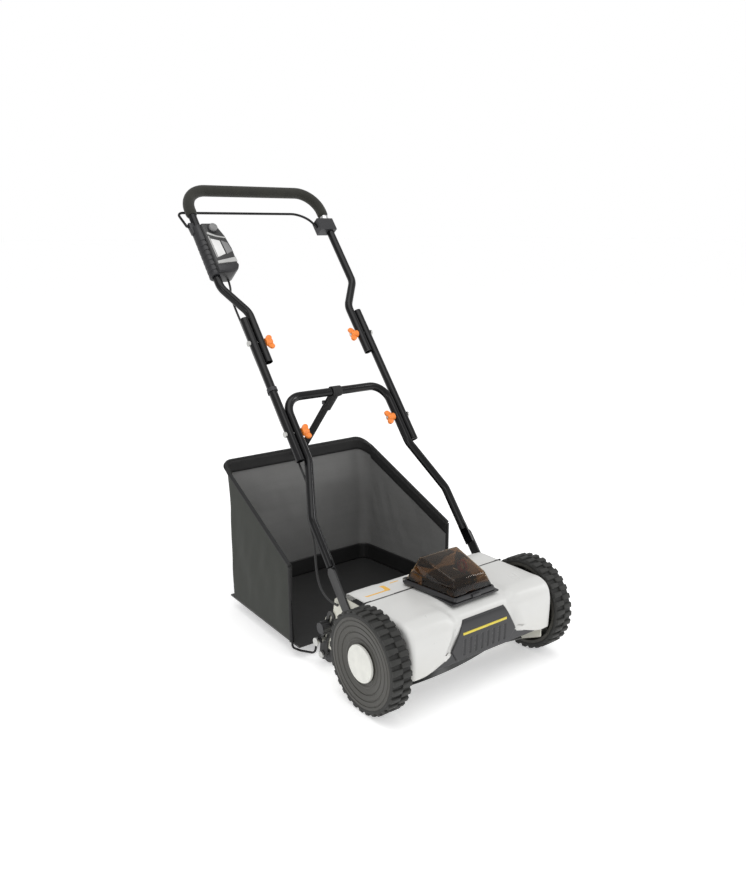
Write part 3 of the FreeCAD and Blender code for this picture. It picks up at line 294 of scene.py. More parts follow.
def turned(name, profile, *materials, steps=128):
    """A closed profile of (x, radius) points turned round the wheels' axle."""
    verts = []
    for i in range(steps):
        angle = 2 * math.pi * i / steps
        verts += [(x, r * math.cos(angle), axle_height + r * math.sin(angle)) for x, r in profile]
    count = len(profile)
    faces = []
    for i in range(steps):
        for k in range(count):
            a, b = i * count + k, i * count + (k + 1) % count
            c, d = ((i + 1) % steps) * count + (k + 1) % count, ((i + 1) % steps) * count + k
            faces.append((a, b, c, d))
    return new_piece(name, verts, faces, *materials)


def join(name, *pieces):
    """One object made of several; the first one's materials are kept, others are added."""
    with bpy.context.temp_override(active_object=pieces[0], selected_editable_objects=list(pieces)):
        bpy.ops.object.join()
    pieces[0].name = name
    pieces[0].data.name = name
    return pieces[0]


def grid(rows, columns):
    """The faces that join rows of points, each row with this many points."""
    return [(a, a + 1, a + columns + 1, a + columns)
            for i in range(rows - 1) for a in range(i * columns, (i + 1) * columns - 1)]


def prism(count):
    """The sides and both ends of an outline given twice, with this many points each time."""
    sides = [(i, (i + 1) % count, (i + 1) % count + count, i + count) for i in range(count)]
    return sides + [tuple(range(count)), tuple(range(count, 2 * count))]


def thicken(piece, thickness, offset=-1):
    """Give a skin its wall, inwards from the outside unless said otherwise."""
    wall = piece.modifiers.new("wall", "SOLIDIFY")
    wall.thickness, wall.offset = thickness, offset
    return wall


def settle(piece, body, slot, *nodes):
    """Fix a finished piece to its body and hide the carried-over parts it replaces; slot is not
    used.
    """
    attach(piece, body)
    if nodes:
        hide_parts(*nodes)


def block(name, low, high, material, bevel=0.001, segments=2):
    """A box with rounded edges between two corners."""
    verts = [(x, y, z) for x in (low[0], high[0]) for y in (low[1], high[1])
             for z in (low[2], high[2])]
    return rounded(new_piece(name, verts, six_faces, material), bevel, segments)


def rounded(piece, bevel, segments=2):
    form = bmesh.new()
    form.from_mesh(piece.data)
    bmesh.ops.bevel(form, geom=form.edges[:], offset=bevel, segments=segments, profile=0.5,
                    affect="EDGES", clamp_overlap=True)
    bmesh.ops.recalc_face_normals(form, faces=form.faces)
    form.to_mesh(piece.data)
    form.free()
    crisp(piece, 42)
    return piece


def repeater(name, turning):
    """A tree that repeats its mesh: round a centre on the X axis, or along a step."""
    tree = bpy.data.node_groups.new(name, "GeometryNodeTree")
    face = tree.interface
    face.new_socket("Geometry", in_out="OUTPUT", socket_type="NodeSocketGeometry")
    for label, kind in (("Geometry", "Geometry"), ("Count", "Int"), ("Start", "Vector"),
                        ("Step", "Vector"), ("Finish", "Material")):
        face.new_socket(label, in_out="INPUT", socket_type="NodeSocket" + kind)
    inputs = tree.nodes.new("NodeGroupInput")
    given = {s.name: Wire(tree, s) for s in inputs.outputs if s.name}
    start = given["Count"]
    points = start.node("GeometryNodePoints", (), {"Count": given["Count"]})
    index = start.node("GeometryNodeInputIndex")
    travel = start.node("ShaderNodeVectorMath", {"operation": "SCALE"},
                        {0: given["Step"], "Scale": index})
    place = travel.node("ShaderNodeVectorMath", {"operation": "ADD"},
                        {0: travel, 1: given["Start"]})
    if turning:
        copies = start.node("GeometryNodeInstanceOnPoints", (), {
            "Points": points, "Instance": given["Geometry"], "Rotation": place})
    else:
        points = start.node("GeometryNodeSetPosition", (), {"Geometry": points, "Position": place})
        copies = start.node("GeometryNodeInstanceOnPoints", (), {
            "Points": points, "Instance": given["Geometry"]})
    real = start.node("GeometryNodeRealizeInstances", (), {"Geometry": copies})
    done = start.node("GeometryNodeSetMaterial", (),
                      {"Geometry": real, "Material": given["Finish"]})
    ends = tree.nodes.new("NodeGroupOutput")
    tree.links.new(done.socket, ends.inputs[0])
    return tree


round_the_axle = repeater("round_the_axle", True)
along_a_line = repeater("along_a_line", False)


def repeated(piece, tree, count, start, step, material, shift=(0, 0, 0)):
    """Run a repeating tree on a piece and keep the plain mesh; shift moves the result."""
    tool = piece.modifiers.new("repeat", "NODES")
    tool.node_group = tree
    names = {s.name: s.identifier for s in tree.interface.items_tree if s.in_out == "INPUT"}
    for label, value in (("Count", count), ("Start", start), ("Step", step), ("Finish", material)):
        tool[names[label]] = value
    ready = piece.evaluated_get(bpy.context.evaluated_depsgraph_get())
    plain = bpy.data.meshes.new_from_object(ready)
    piece.modifiers.clear()
    piece.data = plain
    for vertex in plain.vertices:
        vertex.co += Vector(shift)
    return piece


rubber = Finish("tyre_rubber_black", Specular_IOR_Level=0.35)
soft = rubber.place.noise(45, 4)
speck = rubber.place.noise(1400, 2)
scuff = rubber.wear.node("ShaderNodeMapRange", (), {
    0: rubber.wear, 1: 0.5, 2: 0.62, 3: 0.0, 4: 0.5})
rubber.feed(Base_Color=scuff.blend(soft.blend((0.012, 0.012, 0.012, 1), (0.024, 0.024, 0.022, 1)),
                                   (0.075, 0.075, 0.07, 1)))
rubber.feed(Roughness=soft * 0.25 + 0.5)
rubber.bump(speck, 0.4, 0.0003)
disc_plastic = coated("wheel_disc_plastic", (0.045, 0.043, 0.036), 0.46, 18, 700, 0.0003, 0.2)
cap_plastic = coated("hub_cap_plastic", (0.74, 0.74, 0.69), 0.42, 60, 900, 0.0003, 0.0)

tyre_profile = [(0.2430, bead_radius), (0.2437, 0.0915), (0.2437, 0.0948), (0.2428, 0.0966),
                (0.2400, 0.0972), (0.2212, 0.0975), (0.2024, 0.0972), (0.1996, 0.0966),
                (0.1987, 0.0948), (0.1987, 0.0915), (0.1994, bead_radius)]
disc_profile = [(0.2434, 0.0897), (0.2436, 0.0884), (0.2436, 0.0846), (0.2424, 0.0836),
                (0.2424, 0.0826), (0.2434, 0.0816), (0.2430, 0.0742), (0.2417, 0.0732),
                (0.2417, 0.0722), (0.2427, 0.0712), (0.2416, 0.0622), (0.2402, 0.0612),
                (0.2402, 0.0600), (0.2412, 0.0590), (0.2398, 0.0492), (0.2408, 0.0480),
                (0.2412, 0.0462), (0.2408, 0.0444), (0.2394, 0.0430), (0.2390, 0.0381),
                (0.2367, 0.0378), (0.2367, 0.0061), (0.1990, 0.0061), (0.1990, 0.0140),
                (0.2297, 0.0150), (0.2297, 0.0810), (0.2010, 0.0822), (0.1990, 0.0836),
                (0.1990, 0.0897)]
cap_profile = [(0.2407, 0.0001), (0.2407, 0.0373), (0.2436, 0.0375), (0.2452, 0.0368),
               (0.2458, 0.0350), (0.2459, 0.0330), (0.2455, 0.0322), (0.2457, 0.0314),
               (0.2462, 0.0250), (0.2465, 0.0120), (0.2466, 0.0001)]
for side, word in ((-1, "left"), (1, "right")):
    flip = [(side * x, r) for x, r in tyre_profile]
    carcass = turned("tread_base", flip, rubber.material)
    rows = []
    for row, (near, far, late) in enumerate(((0.2436, 0.2203, 0.0), (0.1988, 0.2221, 0.5))):
        step = 2 * math.pi / lugs_round
        verts = []
        for radius, half, pull in ((0.0962, 0.0062, 0.0), (0.1018, 0.0052, 0.0009)):
            for x, wide in ((near, 1.0), (far, 0.86)):
                inward = pull if x == near else -pull
                x_at = side * (x - inward * (1 if row == 0 else -1))
                for across in (-half * wide, half * wide):
                    verts.append((x_at, across, radius))
        lug = rounded(new_piece("lug", verts, six_faces, rubber.material), 0.0016, 2)
        rows.append(repeated(lug, round_the_axle, lugs_round, (step * late, 0, 0), (step, 0, 0),
                             rubber.material, (0, 0, axle_height)))
    tyre = join("treaded_tyre_" + word, carcass, *rows)
    settle(tyre, "wheel_" + word, "tyre_rubber", "tyre_" + word)
    disc = turned("disc_face", [(side * x, r) for x, r in disc_profile], disc_plastic)
    ribs = block("rib", (min(side * 0.2050, side * 0.2300), -0.0018, 0.0130),
                 (max(side * 0.2050, side * 0.2300), 0.0018, 0.0822), disc_plastic, 0.0006, 1)
    ribs = repeated(ribs, round_the_axle, 6, (0, 0, 0), (math.pi / 3, 0, 0), disc_plastic,
                    (0, 0, axle_height))
    settle(join("ringed_disc_" + word, disc, ribs), "wheel_" + word, "grey_plastic",
           "wheel_disc_" + word)
    cap = turned("snap_cap_" + word, [(side * x, r) for x, r in cap_profile], cap_plastic, steps=96)
    settle(cap, "wheel_" + word, "cap_plastic", "hub_cap_" + word)

# ---------------------------------------------------------------- side plates
# Two plates moulded in cream plastic carry the axles, the reel and the handle. They are held to
# each other by the braces, the knife's bar and the deck.
cream = coated("cream_side_plastic", (0.70, 0.69, 0.60), 0.45, 20, 800, 0.0003, 0.1)
paint(cream, "side_plate_left", "side_plate_right")

# ---------------------------------------------------------------- deck hood
# The hood is one injection moulding in glossy white plastic, 3 mm thick. Two rounded lobes stand
# either side of the battery bay and of the black nose panel, and a lip runs along its lower edge.
hood_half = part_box("deck_hood")[1][0]
seam_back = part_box("deck_hood")[1][1]
hood_line = [(0.0600, 0.1870), (0.0100, 0.1872), (-0.0350, 0.1862), (-0.0600, 0.1836),
             (-0.0745, 0.1765), (-0.0825, 0.1650), (-0.0862, 0.1500), (-0.0872, 0.1300),
             (-0.0868, 0.1110), (-0.0858, 0.0920), (-0.0852, 0.0840)]


def smoothstep(value, low, high):
    t = np.clip((value - low) / (high - low), 0, 1)
    return t * t * (3 - 2 * t)


def eased(points, count):
    """A smooth line through the given points, as evenly spaced samples."""
    points = np.array(points, float)
    away = np.concatenate([[0], np.cumsum(np.linalg.norm(np.diff(points, axis=0), axis=1))])
    slopes = np.gradient(points, away, axis=0)
    wanted = np.linspace(0, away[-1], count)
    k = np.clip(np.searchsorted(away, wanted) - 1, 0, len(points) - 2)
    gap = (away[k + 1] - away[k])[:, None]
    t = ((wanted - away[k]) / gap[:, 0])[:, None]
    return ((2 * t**3 - 3 * t**2 + 1) * points[k] + (t**3 - 2 * t**2 + t) * gap * slopes[k]
            + (3 * t**2 - 2 * t**3) * points[k + 1] + (t**3 - t**2) * gap * slopes[k + 1])


hood_samples = eased(hood_line, 90)
recess = 0.0042
tangents = np.gradient(hood_samples, axis=0)
tangents /= np.linalg.norm(tangents, axis=1)[:, None]
outward = np.stack([tangents[:, 1], -tangents[:, 0]], axis=1)
panel_edge = np.interp(hood_samples[:, 1], [0.084, 0.110, 0.168, 0.187],
                       [0.075, 0.091, 0.060, 0.068])
rolled = 0.010


def hood_skin(x, i):
    """The hood's outer skin at x and at sample i of its front line."""
    y, z = hood_samples[i]
    size = abs(x)
    front = smoothstep(-y, 0.020, 0.066)
    lobe = smoothstep(size, panel_edge[i] + 0.004, panel_edge[i] + 0.024)
    swell = math.exp(-(((size - 0.140) / 0.040) ** 2))
    push = front * (-recess + 0.0062 * lobe + 0.0012 * swell * lobe)
    crown = (1 - front) * (0.0014 * swell * smoothstep(-y, -0.05, 0.01) - 0.0006)
    valley = -0.0022 * math.exp(-(((size - 0.079) / 0.012) ** 2)) * smoothstep(-y, 0.0, 0.03)
    push += crown + valley
    point = np.array([x, y + outward[i, 0] * push, z + outward[i, 1] * push])
    edge = max(0.0, size - (hood_half - rolled))
    if edge > 0:
        ease = rolled - math.sqrt(max(0.0, rolled**2 - edge**2))
        point[1] -= outward[i, 0] * ease
        point[2] -= outward[i, 1] * ease
    return point


def hood_mesh():
    """Rows from the seam down the front, with both side walls turned down to the plates."""
    xs = np.concatenate([
        [-hood_half + rolled * (1 - math.cos(a)) for a in np.linspace(0, math.pi / 2, 7)][:-1],
        np.linspace(-hood_half + rolled, hood_half - rolled, 150),
        [hood_half - rolled * (1 - math.cos(a)) for a in np.linspace(math.pi / 2, 0, 7)][1:]])
    low_edge = 0.0795
    lines = []
    for i in range(len(hood_samples)):
        row = [hood_skin(x, i) for x in xs]
        y = hood_samples[i, 0]
        skirt = []
        for share in (0.34, 0.67, 1.0):
            inner = row[0]
            fall_z = inner[2] + (low_edge - inner[2]) * share
            fall_y = inner[1] * (1 - 0.10 * share * smoothstep(-y, 0.0, 0.06))
            skirt.append(np.array([-hood_half, fall_y, min(fall_z, inner[2])]))
        left = skirt[::-1]
        right = [np.array([hood_half, p[1], p[2]]) for p in skirt]
        lines.append(left + row + right)
    return np.array(lines)


skin = hood_mesh()
rows_in, columns = skin.shape[:2]
bay_side, bay_front = 0.0505, -0.0385
lip_rise = 0.021
arch_radius = 0.0165
verts = []
for i in range(rows_in):
    for k in range(columns):
        point = skin[i, k].copy()
        size = abs(point[0])
        if point[2] < 0.100 and point[1] < -0.05:
            rise = lip_rise * smoothstep(-size, -0.168, -0.078)
            share = smoothstep(-point[2], -0.122, -0.084)
            point[2] += rise * share
        verts.append(point)
faces = []
for quad in grid(rows_in, columns):
    middle = sum(verts[q] for q in quad) / 4
    inside = abs(middle[0]) < bay_side and middle[1] > bay_front and middle[2] > 0.17
    arch = (middle[1] ** 2 + (middle[2] - axle_height) ** 2 < arch_radius**2
            and abs(middle[0]) > hood_half - 0.001)
    behind = abs(middle[0]) < 0.064 and middle[1] < -0.07 and middle[2] < 0.150
    if not inside and not arch and not behind:
        faces.append(quad)
hood_white = Finish("hood_white_plastic", Specular_IOR_Level=0.5, Coat_Roughness=0.08)
haze = hood_white.place.noise(9, 3)
smear = hood_white.place.noise(26, 4, (1, 0.4, 1))
pebble = hood_white.place.noise(1500, 2)
tint = haze.blend((0.66, 0.66, 0.64, 1), (0.74, 0.74, 0.725, 1))
low = hood_white.place.node("ShaderNodeSeparateXYZ", (), {0: hood_white.place}, 2)
# Below about 14 cm the hood's colour is darkened in patches to a warm grey: a painted shade on its
# lower front faces.
low_painted_shade = low.node("ShaderNodeMapRange", (), {0: low, 1: 0.082, 2: 0.14, 3: 0.55, 4: 0.0}) * smear
hood_white.feed(Base_Color=low_painted_shade.blend(tint, (0.60, 0.58, 0.52, 1)))
hood_white.feed(Roughness=smear * 0.12 + haze * 0.08 + 0.2)
hood_white.bump(pebble, 0.12, 0.0001)
hood = new_piece("moulded_hood", verts, faces, hood_white.material)
thicken(hood, 0.0028)
settle(hood, "chassis", "white_shell", "deck_hood")

# A black gasket fills the seam between the hood and the rear panel, flush with both.
gasket = block("seam_gasket", (-0.1905, seam_back - 0.0004, 0.1800),
               (0.1905, seam_back + 0.0022, 0.1876), matt_black, 0.0005, 2)
bpy.context.view_layer.update()
settle(gasket, "chassis", "black_plastic")

# ---------------------------------------------------------------- rear panel
# A white moulding closes the deck behind the seam. It is glued to the side plates, and two blank
# amber stickers stand where the maker's safety notes would be.
panel_low, panel_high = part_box("rear_panel")
panel_line = [(panel_low[1], 0.1868), (0.1120, 0.1868), (0.1190, 0.1862), (0.1240, 0.1838),
              (0.1266, 0.1795), (0.1270, 0.1640)]
panel_run = eased(panel_line, 28)
verts, faces = [], []
bay_back = 0.0803
panel_xs = np.linspace(panel_low[0], panel_high[0], 91)
for y, z in panel_run:
    for x in panel_xs:
        raised = smoothstep(abs(x), 0.10, 0.12) * smoothstep(-abs(x), -0.178, -0.166)
        verts.append((x, y, z + 0.0012 * float(raised)))
for corner in grid(len(panel_run), len(panel_xs)):
    middle = [sum(verts[q][a] for q in corner) / 4 for a in range(3)]
    if not (abs(middle[0]) < bay_side and middle[1] < bay_back):
        faces.append(corner)
rear_shell = new_piece("rear_moulding", verts, faces, hood_white.material)
thicken(rear_shell, 0.0026)
settle(rear_shell, "chassis", "white_shell", "rear_panel")

amber = Finish("amber_sticker", Specular_IOR_Level=0.4)
ink = amber.place.noise(420, 3, (1, 6, 1))
amber.feed(Base_Color=(ink > 0.64).blend((0.88, 0.50, 0.08, 1), (0.62, 0.33, 0.06, 1)))
amber.feed(Roughness=ink * 0.2 + 0.3)


def sticker(name, x_low, x_high, y_low, y_high, z):
    """A thin label with rounded corners, pressed on a flat surface."""
    corner = 0.004
    outline = []
    for cx, cy, start in (
            (x_high - corner, y_high - corner, 0), (x_low + corner, y_high - corner, 90),
            (x_low + corner, y_low + corner, 180), (x_high - corner, y_low + corner, 270)):
        for step in range(5):
            a = math.radians(start + 22.5 * step)
            outline.append((cx + corner * math.cos(a), cy + corner * math.sin(a)))
    points = [(x, y, z) for x, y in outline] + [(x, y, z + 0.0003) for x, y in outline]
    label = new_piece(name, points, prism(len(outline)), amber.material)
    settle(label, "chassis", "yellow_strip")


sticker("amber_sticker_left", -0.168, -0.106, 0.078, 0.104, 0.1881)
sticker("amber_sticker_middle", -0.088, -0.064, 0.088, 0.108, 0.1869)

# ---------------------------------------------------------------- nose panel and its strip
# A black satin panel clips into the recess between the lobes. Eight grooves are moulded below its
# yellow strip, and two wings of the same moulding show under the hood's raised lower edge.
nose_black = coated("nose_black_plastic", (0.022, 0.022, 0.024), 0.32, 24, 900, 0.0003, 0.2)


def nose_point(x, z, proud):
    """A point this far in front of the hood's recess, at x and height z."""
    front = hood_samples[:, 0] < -0.02
    line, normal = hood_samples[front], outward[front]
    y = float(np.interp(-z, -line[:, 1], line[:, 0]))
    ny = float(np.interp(-z, -line[:, 1], normal[:, 0]))
    nz = float(np.interp(-z, -line[:, 1], normal[:, 1]))
    return (x, y + ny * (proud - recess), z + nz * (proud - recess))


verts = []
nose_top, nose_foot = 0.1680, 0.0862
levels, stations = 64, 121
for i in range(levels):
    share = i / (levels - 1)
    z = nose_top - share * (nose_top - nose_foot)
    half = float(np.interp(z, [nose_foot, 0.1110, nose_top], [0.0735, 0.0885, 0.0560]))
    for k in range(stations):
        across_share = -1 + 2 * k / (stations - 1)
        x = half * across_share
        rim = min(half - abs(x), nose_top - z, z - nose_foot + 0.001)
        proud = 0.0004 + 0.0024 * float(smoothstep(rim, 0.0, 0.0022))
        groove_zone = float(smoothstep(-z, -0.1290, -0.1270) * smoothstep(z, 0.0935, 0.0950))
        wave = float(smoothstep(abs(((x / 0.0158 + 0.5) % 1) - 0.5), 0.30, 0.38))
        if abs(x) < 0.0632:
            proud -= 0.0016 * groove_zone * wave
        verts.append(nose_point(x, z, proud))
nose = new_piece("nose_panel", verts, grid(levels, stations), nose_black)
thicken(nose, 0.0020)
settle(nose, "chassis", "black_plastic", "front_panel")
verts = []
for i, z in enumerate(np.linspace(0.1085, 0.0815, 10)):
    for x in np.linspace(-0.170, 0.170, 69):
        drop = 0.0035 * float(smoothstep(abs(x), 0.150, 0.170))
        verts.append(nose_point(x, z + drop * (i / 9), 0.0002 - 0.0006 * i / 9))
wings = new_piece("nose_wings", verts, grid(10, 69), nose_black)
thicken(wings, 0.0018)
settle(wings, "chassis", "black_plastic")

lemon = Finish("lemon_strip", Specular_IOR_Level=0.45)
fade = lemon.place.noise(70, 3)
lemon.feed(Base_Color=fade.blend((0.66, 0.53, 0.05, 1), (0.80, 0.66, 0.09, 1)))
lemon.feed(Roughness=fade * 0.2 + 0.28)
verts = []
strip_half, strip_top, strip_foot = 0.0600, 0.1425, 0.1368
for z in np.linspace(strip_top, strip_foot, 7):
    for x in np.linspace(-strip_half, strip_half, 61):
        rim = min(strip_half - abs(x), strip_top - z, z - strip_foot)
        verts.append(nose_point(x, z, 0.0027 + 0.0010 * float(smoothstep(rim, -0.0001, 0.0009))))
strip = new_piece("lemon_strip", verts, grid(7, 61), lemon.material)
thicken(strip, 0.0010)
settle(strip, "chassis", "yellow_strip", "accent_strip")

# ---------------------------------------------------------------- battery bay
# The dock and the battery are textured black plastic, with seven ridges to grip the battery by.
# The red safety key lifts out of its socket beside it.
bay_black = coated("bay_black_plastic", (0.014, 0.014, 0.016), 0.4, 30, 1100, 0.0004, 0.3)
paint(bay_black, "battery_dock")
paint(coated("battery_case_plastic", (0.030, 0.030, 0.036), 0.3, 30, 1100, 0.0004, 0.4),
      "battery_pack")
paint(coated("key_red_plastic", (0.50, 0.012, 0.012), 0.24, 60, 900, 0.0002, 0.1), "safety_key")
pack_low, pack_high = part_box("battery_pack")
ridge = block("ridge", (pack_low[0] + 0.006, -0.0010, pack_high[2] - 0.0006),
              (pack_high[0] - 0.006, 0.0010, pack_high[2] + 0.0008), bay_black, 0.0004, 1)
ridges = repeated(ridge, along_a_line, 7, (0, 0.0, 0), (0, 0.0062, 0), bay_black)
settle(ridges, "battery", "black_plastic")

# ---------------------------------------------------------------- battery cover
# The cover is one smoked, see-through moulding with flat facets. It turns on a steel pin at its
# back, and a black rim is welded round its lower edge.
smoke = Finish("smoked_acrylic", Roughness=0.06, Transmission_Weight=1.0, IOR=1.36,
               Specular_IOR_Level=0.6)
stain = smoke.place.noise(12, 2)
smoke.feed(Base_Color=stain.blend((0.30, 0.20, 0.115, 1), (0.37, 0.25, 0.15, 1)))
cover_low = 0.1912
base = [(-0.055, -0.056), (0.055, -0.056), (0.072, 0.084), (-0.072, 0.084)]
roof = [(-0.042, -0.038, 0.230), (0.042, -0.038, 0.230), (0.052, 0.056, 0.253),
        (-0.052, 0.056, 0.253)]
verts = [(x, y, cover_low) for x, y in base] + roof
faces = [(0, 1, 5, 4), (1, 2, 6, 5), (2, 3, 7, 6), (3, 0, 4, 7), (4, 5, 6, 7)]
cover = new_piece("smoked_cover", verts, faces, smoke.material)
form = bmesh.new()
form.from_mesh(cover.data)
sharp = [e for e in form.edges if len(e.link_faces) == 2]
bmesh.ops.bevel(form, geom=sharp, offset=0.0055, segments=4, profile=0.5, affect="EDGES")
bmesh.ops.recalc_face_normals(form, faces=form.faces)
form.to_mesh(cover.data)
form.free()
crisp(cover, 50)
thicken(cover, 0.0023)
settle(cover, "cover", "smoked_cover", "battery_cover")


def ring_points(inset, corner, z):
    """The cover's outline at its foot, moved in and with rounded corners."""
    points = []
    for i in range(4):
        here = Vector(base[i])
        back = (Vector(base[i - 1]) - here).normalized()
        ahead = (Vector(base[(i + 1) % 4]) - here).normalized()
        half = back.angle(ahead) / 2
        bisect = (back + ahead).normalized()
        pivot = here + bisect * ((corner + inset) / math.sin(half))
        reach = math.pi / 2 - half
        middle = math.atan2(-bisect.y, -bisect.x)
        for step in range(7):
            a = middle + reach * (step / 3 - 1)
            points.append((pivot.x + corner * math.cos(a), pivot.y + corner * math.sin(a), z))
    return points


rings = [ring_points(inset, corner, cover_low + height) for inset, corner, height in (
    (0.0002, 0.0065, 0.0), (-0.0006, 0.0070, 0.0030), (0.0016, 0.0058, 0.0088),
    (0.0030, 0.0046, 0.0092), (0.0046, 0.0036, 0.0088), (0.0050, 0.0034, 0.0))]
count = len(rings[0])
verts = [p for ring in rings for p in ring]
faces = [(r * count + i, r * count + (i + 1) % count, ((r + 1) % 6) * count + (i + 1) % count,
          ((r + 1) % 6) * count + i) for r in range(6) for i in range(count)]
rim = new_piece("cover_rim", verts, faces, nose_black)
knuckle_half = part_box("cover_hinge_pin")[1][0] - 0.007
knuckle = []
for i in range(24):
    a = 2 * math.pi * i / 24
    knuckle += [(-knuckle_half, 0.090 + 0.0042 * math.cos(a), 0.194 + 0.0042 * math.sin(a)),
                (knuckle_half, 0.090 + 0.0042 * math.cos(a), 0.194 + 0.0042 * math.sin(a))]
faces = [(2 * i, 2 * i + 1, (2 * i + 3) % 48, (2 * i + 2) % 48) for i in range(24)]
faces += [tuple(range(0, 48, 2)), tuple(range(1, 48, 2))]
barrel = new_piece("barrel", knuckle, faces, nose_black)
tongue = block("tongue", (-knuckle_half, 0.0790, 0.1934), (knuckle_half, 0.0900, 0.1962),
               nose_black, 0.0006, 1)
catch = block("catch", (-0.011, -0.0595, 0.1925), (0.011, -0.0555, 0.1990), nose_black, 0.0009, 2)
settle(join("cover_rim", rim, barrel, tongue, catch), "cover", "black_plastic")

# ---------------------------------------------------------------- rear roller and height knobs
# A hard black roller turns between the two slotted brackets, and a lobed knob clamps each bracket.
paint(coated("roller_black_plastic", (0.028, 0.028, 0.028), 0.5, 20, 600, 0.0003, 0.3),
      "rear_roller")
paint(bay_black, "height_knob_left", "height_knob_right")

# ---------------------------------------------------------------- foam grip
# The grip is closed-cell foam drawn over the tube's top, so it has a fine open skin and crowds
# slightly at the two bends. A bright sleeve shows between it and the bail's block.
handle_turn = math.radians(51.8)
pivot_y, pivot_z = 0.107, 0.141


def on_handle(x, along, out):
    """A point of the model from one given across, along the handle and out of it."""
    up, lean = math.sin(handle_turn), math.cos(handle_turn)
    return (x, pivot_y + along * lean - out * up, pivot_z + along * up + out * lean)


def tip(piece):
    """Stand a piece that is drawn as (across, along the handle, out of it) up in its place."""
    for vertex in piece.data.vertices:
        vertex.co = on_handle(*vertex.co)
    piece.data.update()
    return piece


def bar(name, path, radii, *materials, sides=32):
    """A round bar swept along a fine path, with one radius for each of its points."""
    path = [Vector(p) for p in path]
    verts, faces = [], []
    normal = None
    for i, point in enumerate(path):
        ahead = (path[min(i + 1, len(path) - 1)] - path[max(i - 1, 0)]).normalized()
        if normal is None:
            normal = ahead.orthogonal().normalized()
        normal = (normal - ahead * normal.dot(ahead)).normalized()
        side_way = ahead.cross(normal)
        for k in range(sides):
            a = 2 * math.pi * k / sides
            verts.append(point + (normal * math.cos(a) + side_way * math.sin(a)) * radii[i])
    for i in range(len(path) - 1):
        for k in range(sides):
            faces.append((i * sides + k, i * sides + (k + 1) % sides,
                          (i + 1) * sides + (k + 1) % sides, (i + 1) * sides + k))
    faces.append(tuple(range(sides)))
    faces.append(tuple(range((len(path) - 1) * sides, len(path) * sides)))
    return new_piece(name, verts, faces, *materials)


def bent(points, radius, step=0.004):
    """A fine path along straight runs with one arc radius at each inner corner."""
    points = [Vector(p) for p in points]
    line = [points[0]]
    for before, corner, after in zip(points, points[1:], points[2:]):
        back, ahead = (before - corner).normalized(), (after - corner).normalized()
        half = back.angle(ahead) / 2
        reach = radius / math.tan(half)
        centre = corner + (back + ahead).normalized() * (radius / math.sin(half))
        first, last = corner + back * reach - centre, corner + ahead * reach - centre
        turn = math.pi - 2 * half
        for i in range(17):
            line.append(centre + (first * math.sin((1 - i / 16) * turn)
                                  + last * math.sin(i / 16 * turn)) / math.sin(turn))
    line.append(points[-1])
    fine = [line[0]]
    for point in line[1:]:
        gap = point - fine[-1]
        pieces = max(1, round(gap.length / step))
        start = fine[-1]
        fine += [start + gap * (i / pieces) for i in range(1, pieces + 1)]
    return fine


foam = Finish("grip_foam", Specular_IOR_Level=0.25, Sheen_Weight=0.15, Sheen_Roughness=0.5)
cells = foam.place.node("ShaderNodeTexVoronoi", {"feature": "F1"},
                        {"Vector": foam.place, "Scale": 900})
mottle = foam.place.noise(38, 4)
foam.feed(Base_Color=mottle.blend((0.016, 0.016, 0.013, 1), (0.034, 0.034, 0.027, 1)))
foam.feed(Roughness=mottle * 0.15 + 0.72)
foam.bump(cells + mottle * 0.6, 0.6, 0.0004)
grip_half, grip_start, grip_end, grip_bend = 0.185, 0.993, 1.068, 0.058
grip_line = bent([(-grip_half, grip_start, 0), (-grip_half, grip_end, 0),
                  (grip_half, grip_end, 0), (grip_half, grip_start, 0)], grip_bend)
fullness = []
for i in range(len(grip_line)):
    from_end = min(i, len(grip_line) - 1 - i) * 0.004
    fullness.append(0.0134 * (0.80 + 0.20 * float(smoothstep(from_end, -0.002, 0.006))))
grip = tip(bar("foam_sleeve", grip_line, fullness, foam.material, sides=40))
settle(grip, "handle_upper", "foam", "foam_grip")
chrome = ground_steel("bright_sleeve_steel", (0.80, 0.80, 0.79), 0.12, (8, 8, 1))
sleeve = bar("bright_sleeve", [(grip_half, s, 0) for s in (0.9805, 0.9812, 0.9920, 0.9927)],
             [0.0101, 0.0106, 0.0106, 0.0101], chrome)
settle(tip(sleeve), "handle_upper", "bare_steel")

# ---------------------------------------------------------------- wing knobs
# Four orange knobs with two rounded wings each are moulded round a steel nut, and screw on the
# inner end of the bolts that clamp the handle's folds.
orange = coated("knob_orange_plastic", (0.92, 0.25, 0.035), 0.34, 80, 900, 0.0003, 0.1)
wing_line = [(0.1270, 0.0050), (0.1238, 0.0110), (0.1200, 0.0155), (0.1160, 0.0172),
             (0.1115, 0.0168), (0.1085, 0.0145), (0.1078, 0.0112), (0.1088, 0.0080),
             (0.1106, 0.0045), (0.1110, 0.0)]
for along, row in ((0.412, "low"), (0.642, "high")):
    for side, word in ((-1, "left"), (1, "right")):
        outline = wing_line + [(x, -s) for x, s in reversed(wing_line[:-1])]
        verts = [(side * x, along + s, out) for out in (-0.0031, 0.0031) for x, s in outline]
        wings = rounded(new_piece("wings", verts, prism(len(outline)), orange), 0.0014, 2)
        hub_path = [(side * x, along, 0) for x in (0.1294, 0.1290, 0.1250, 0.1180, 0.1125, 0.1112)]
        hub = bar("hub", hub_path, [0.0082, 0.0089, 0.0088, 0.0078, 0.0070, 0.0062], orange,
                  sides=28)
        nut = bar("nut", [(side * x, along, 0) for x in (0.1113, 0.1100, 0.1098)],
                  [0.0034, 0.0034, 0.0028], plated, sides=18)
        knob = tip(join("orange_wing_" + row + "_" + word, wings, hub, nut))
        settle(knob, "wing_" + row + "_" + word, "orange_plastic", "wing_knob_" + row + "_" + word)

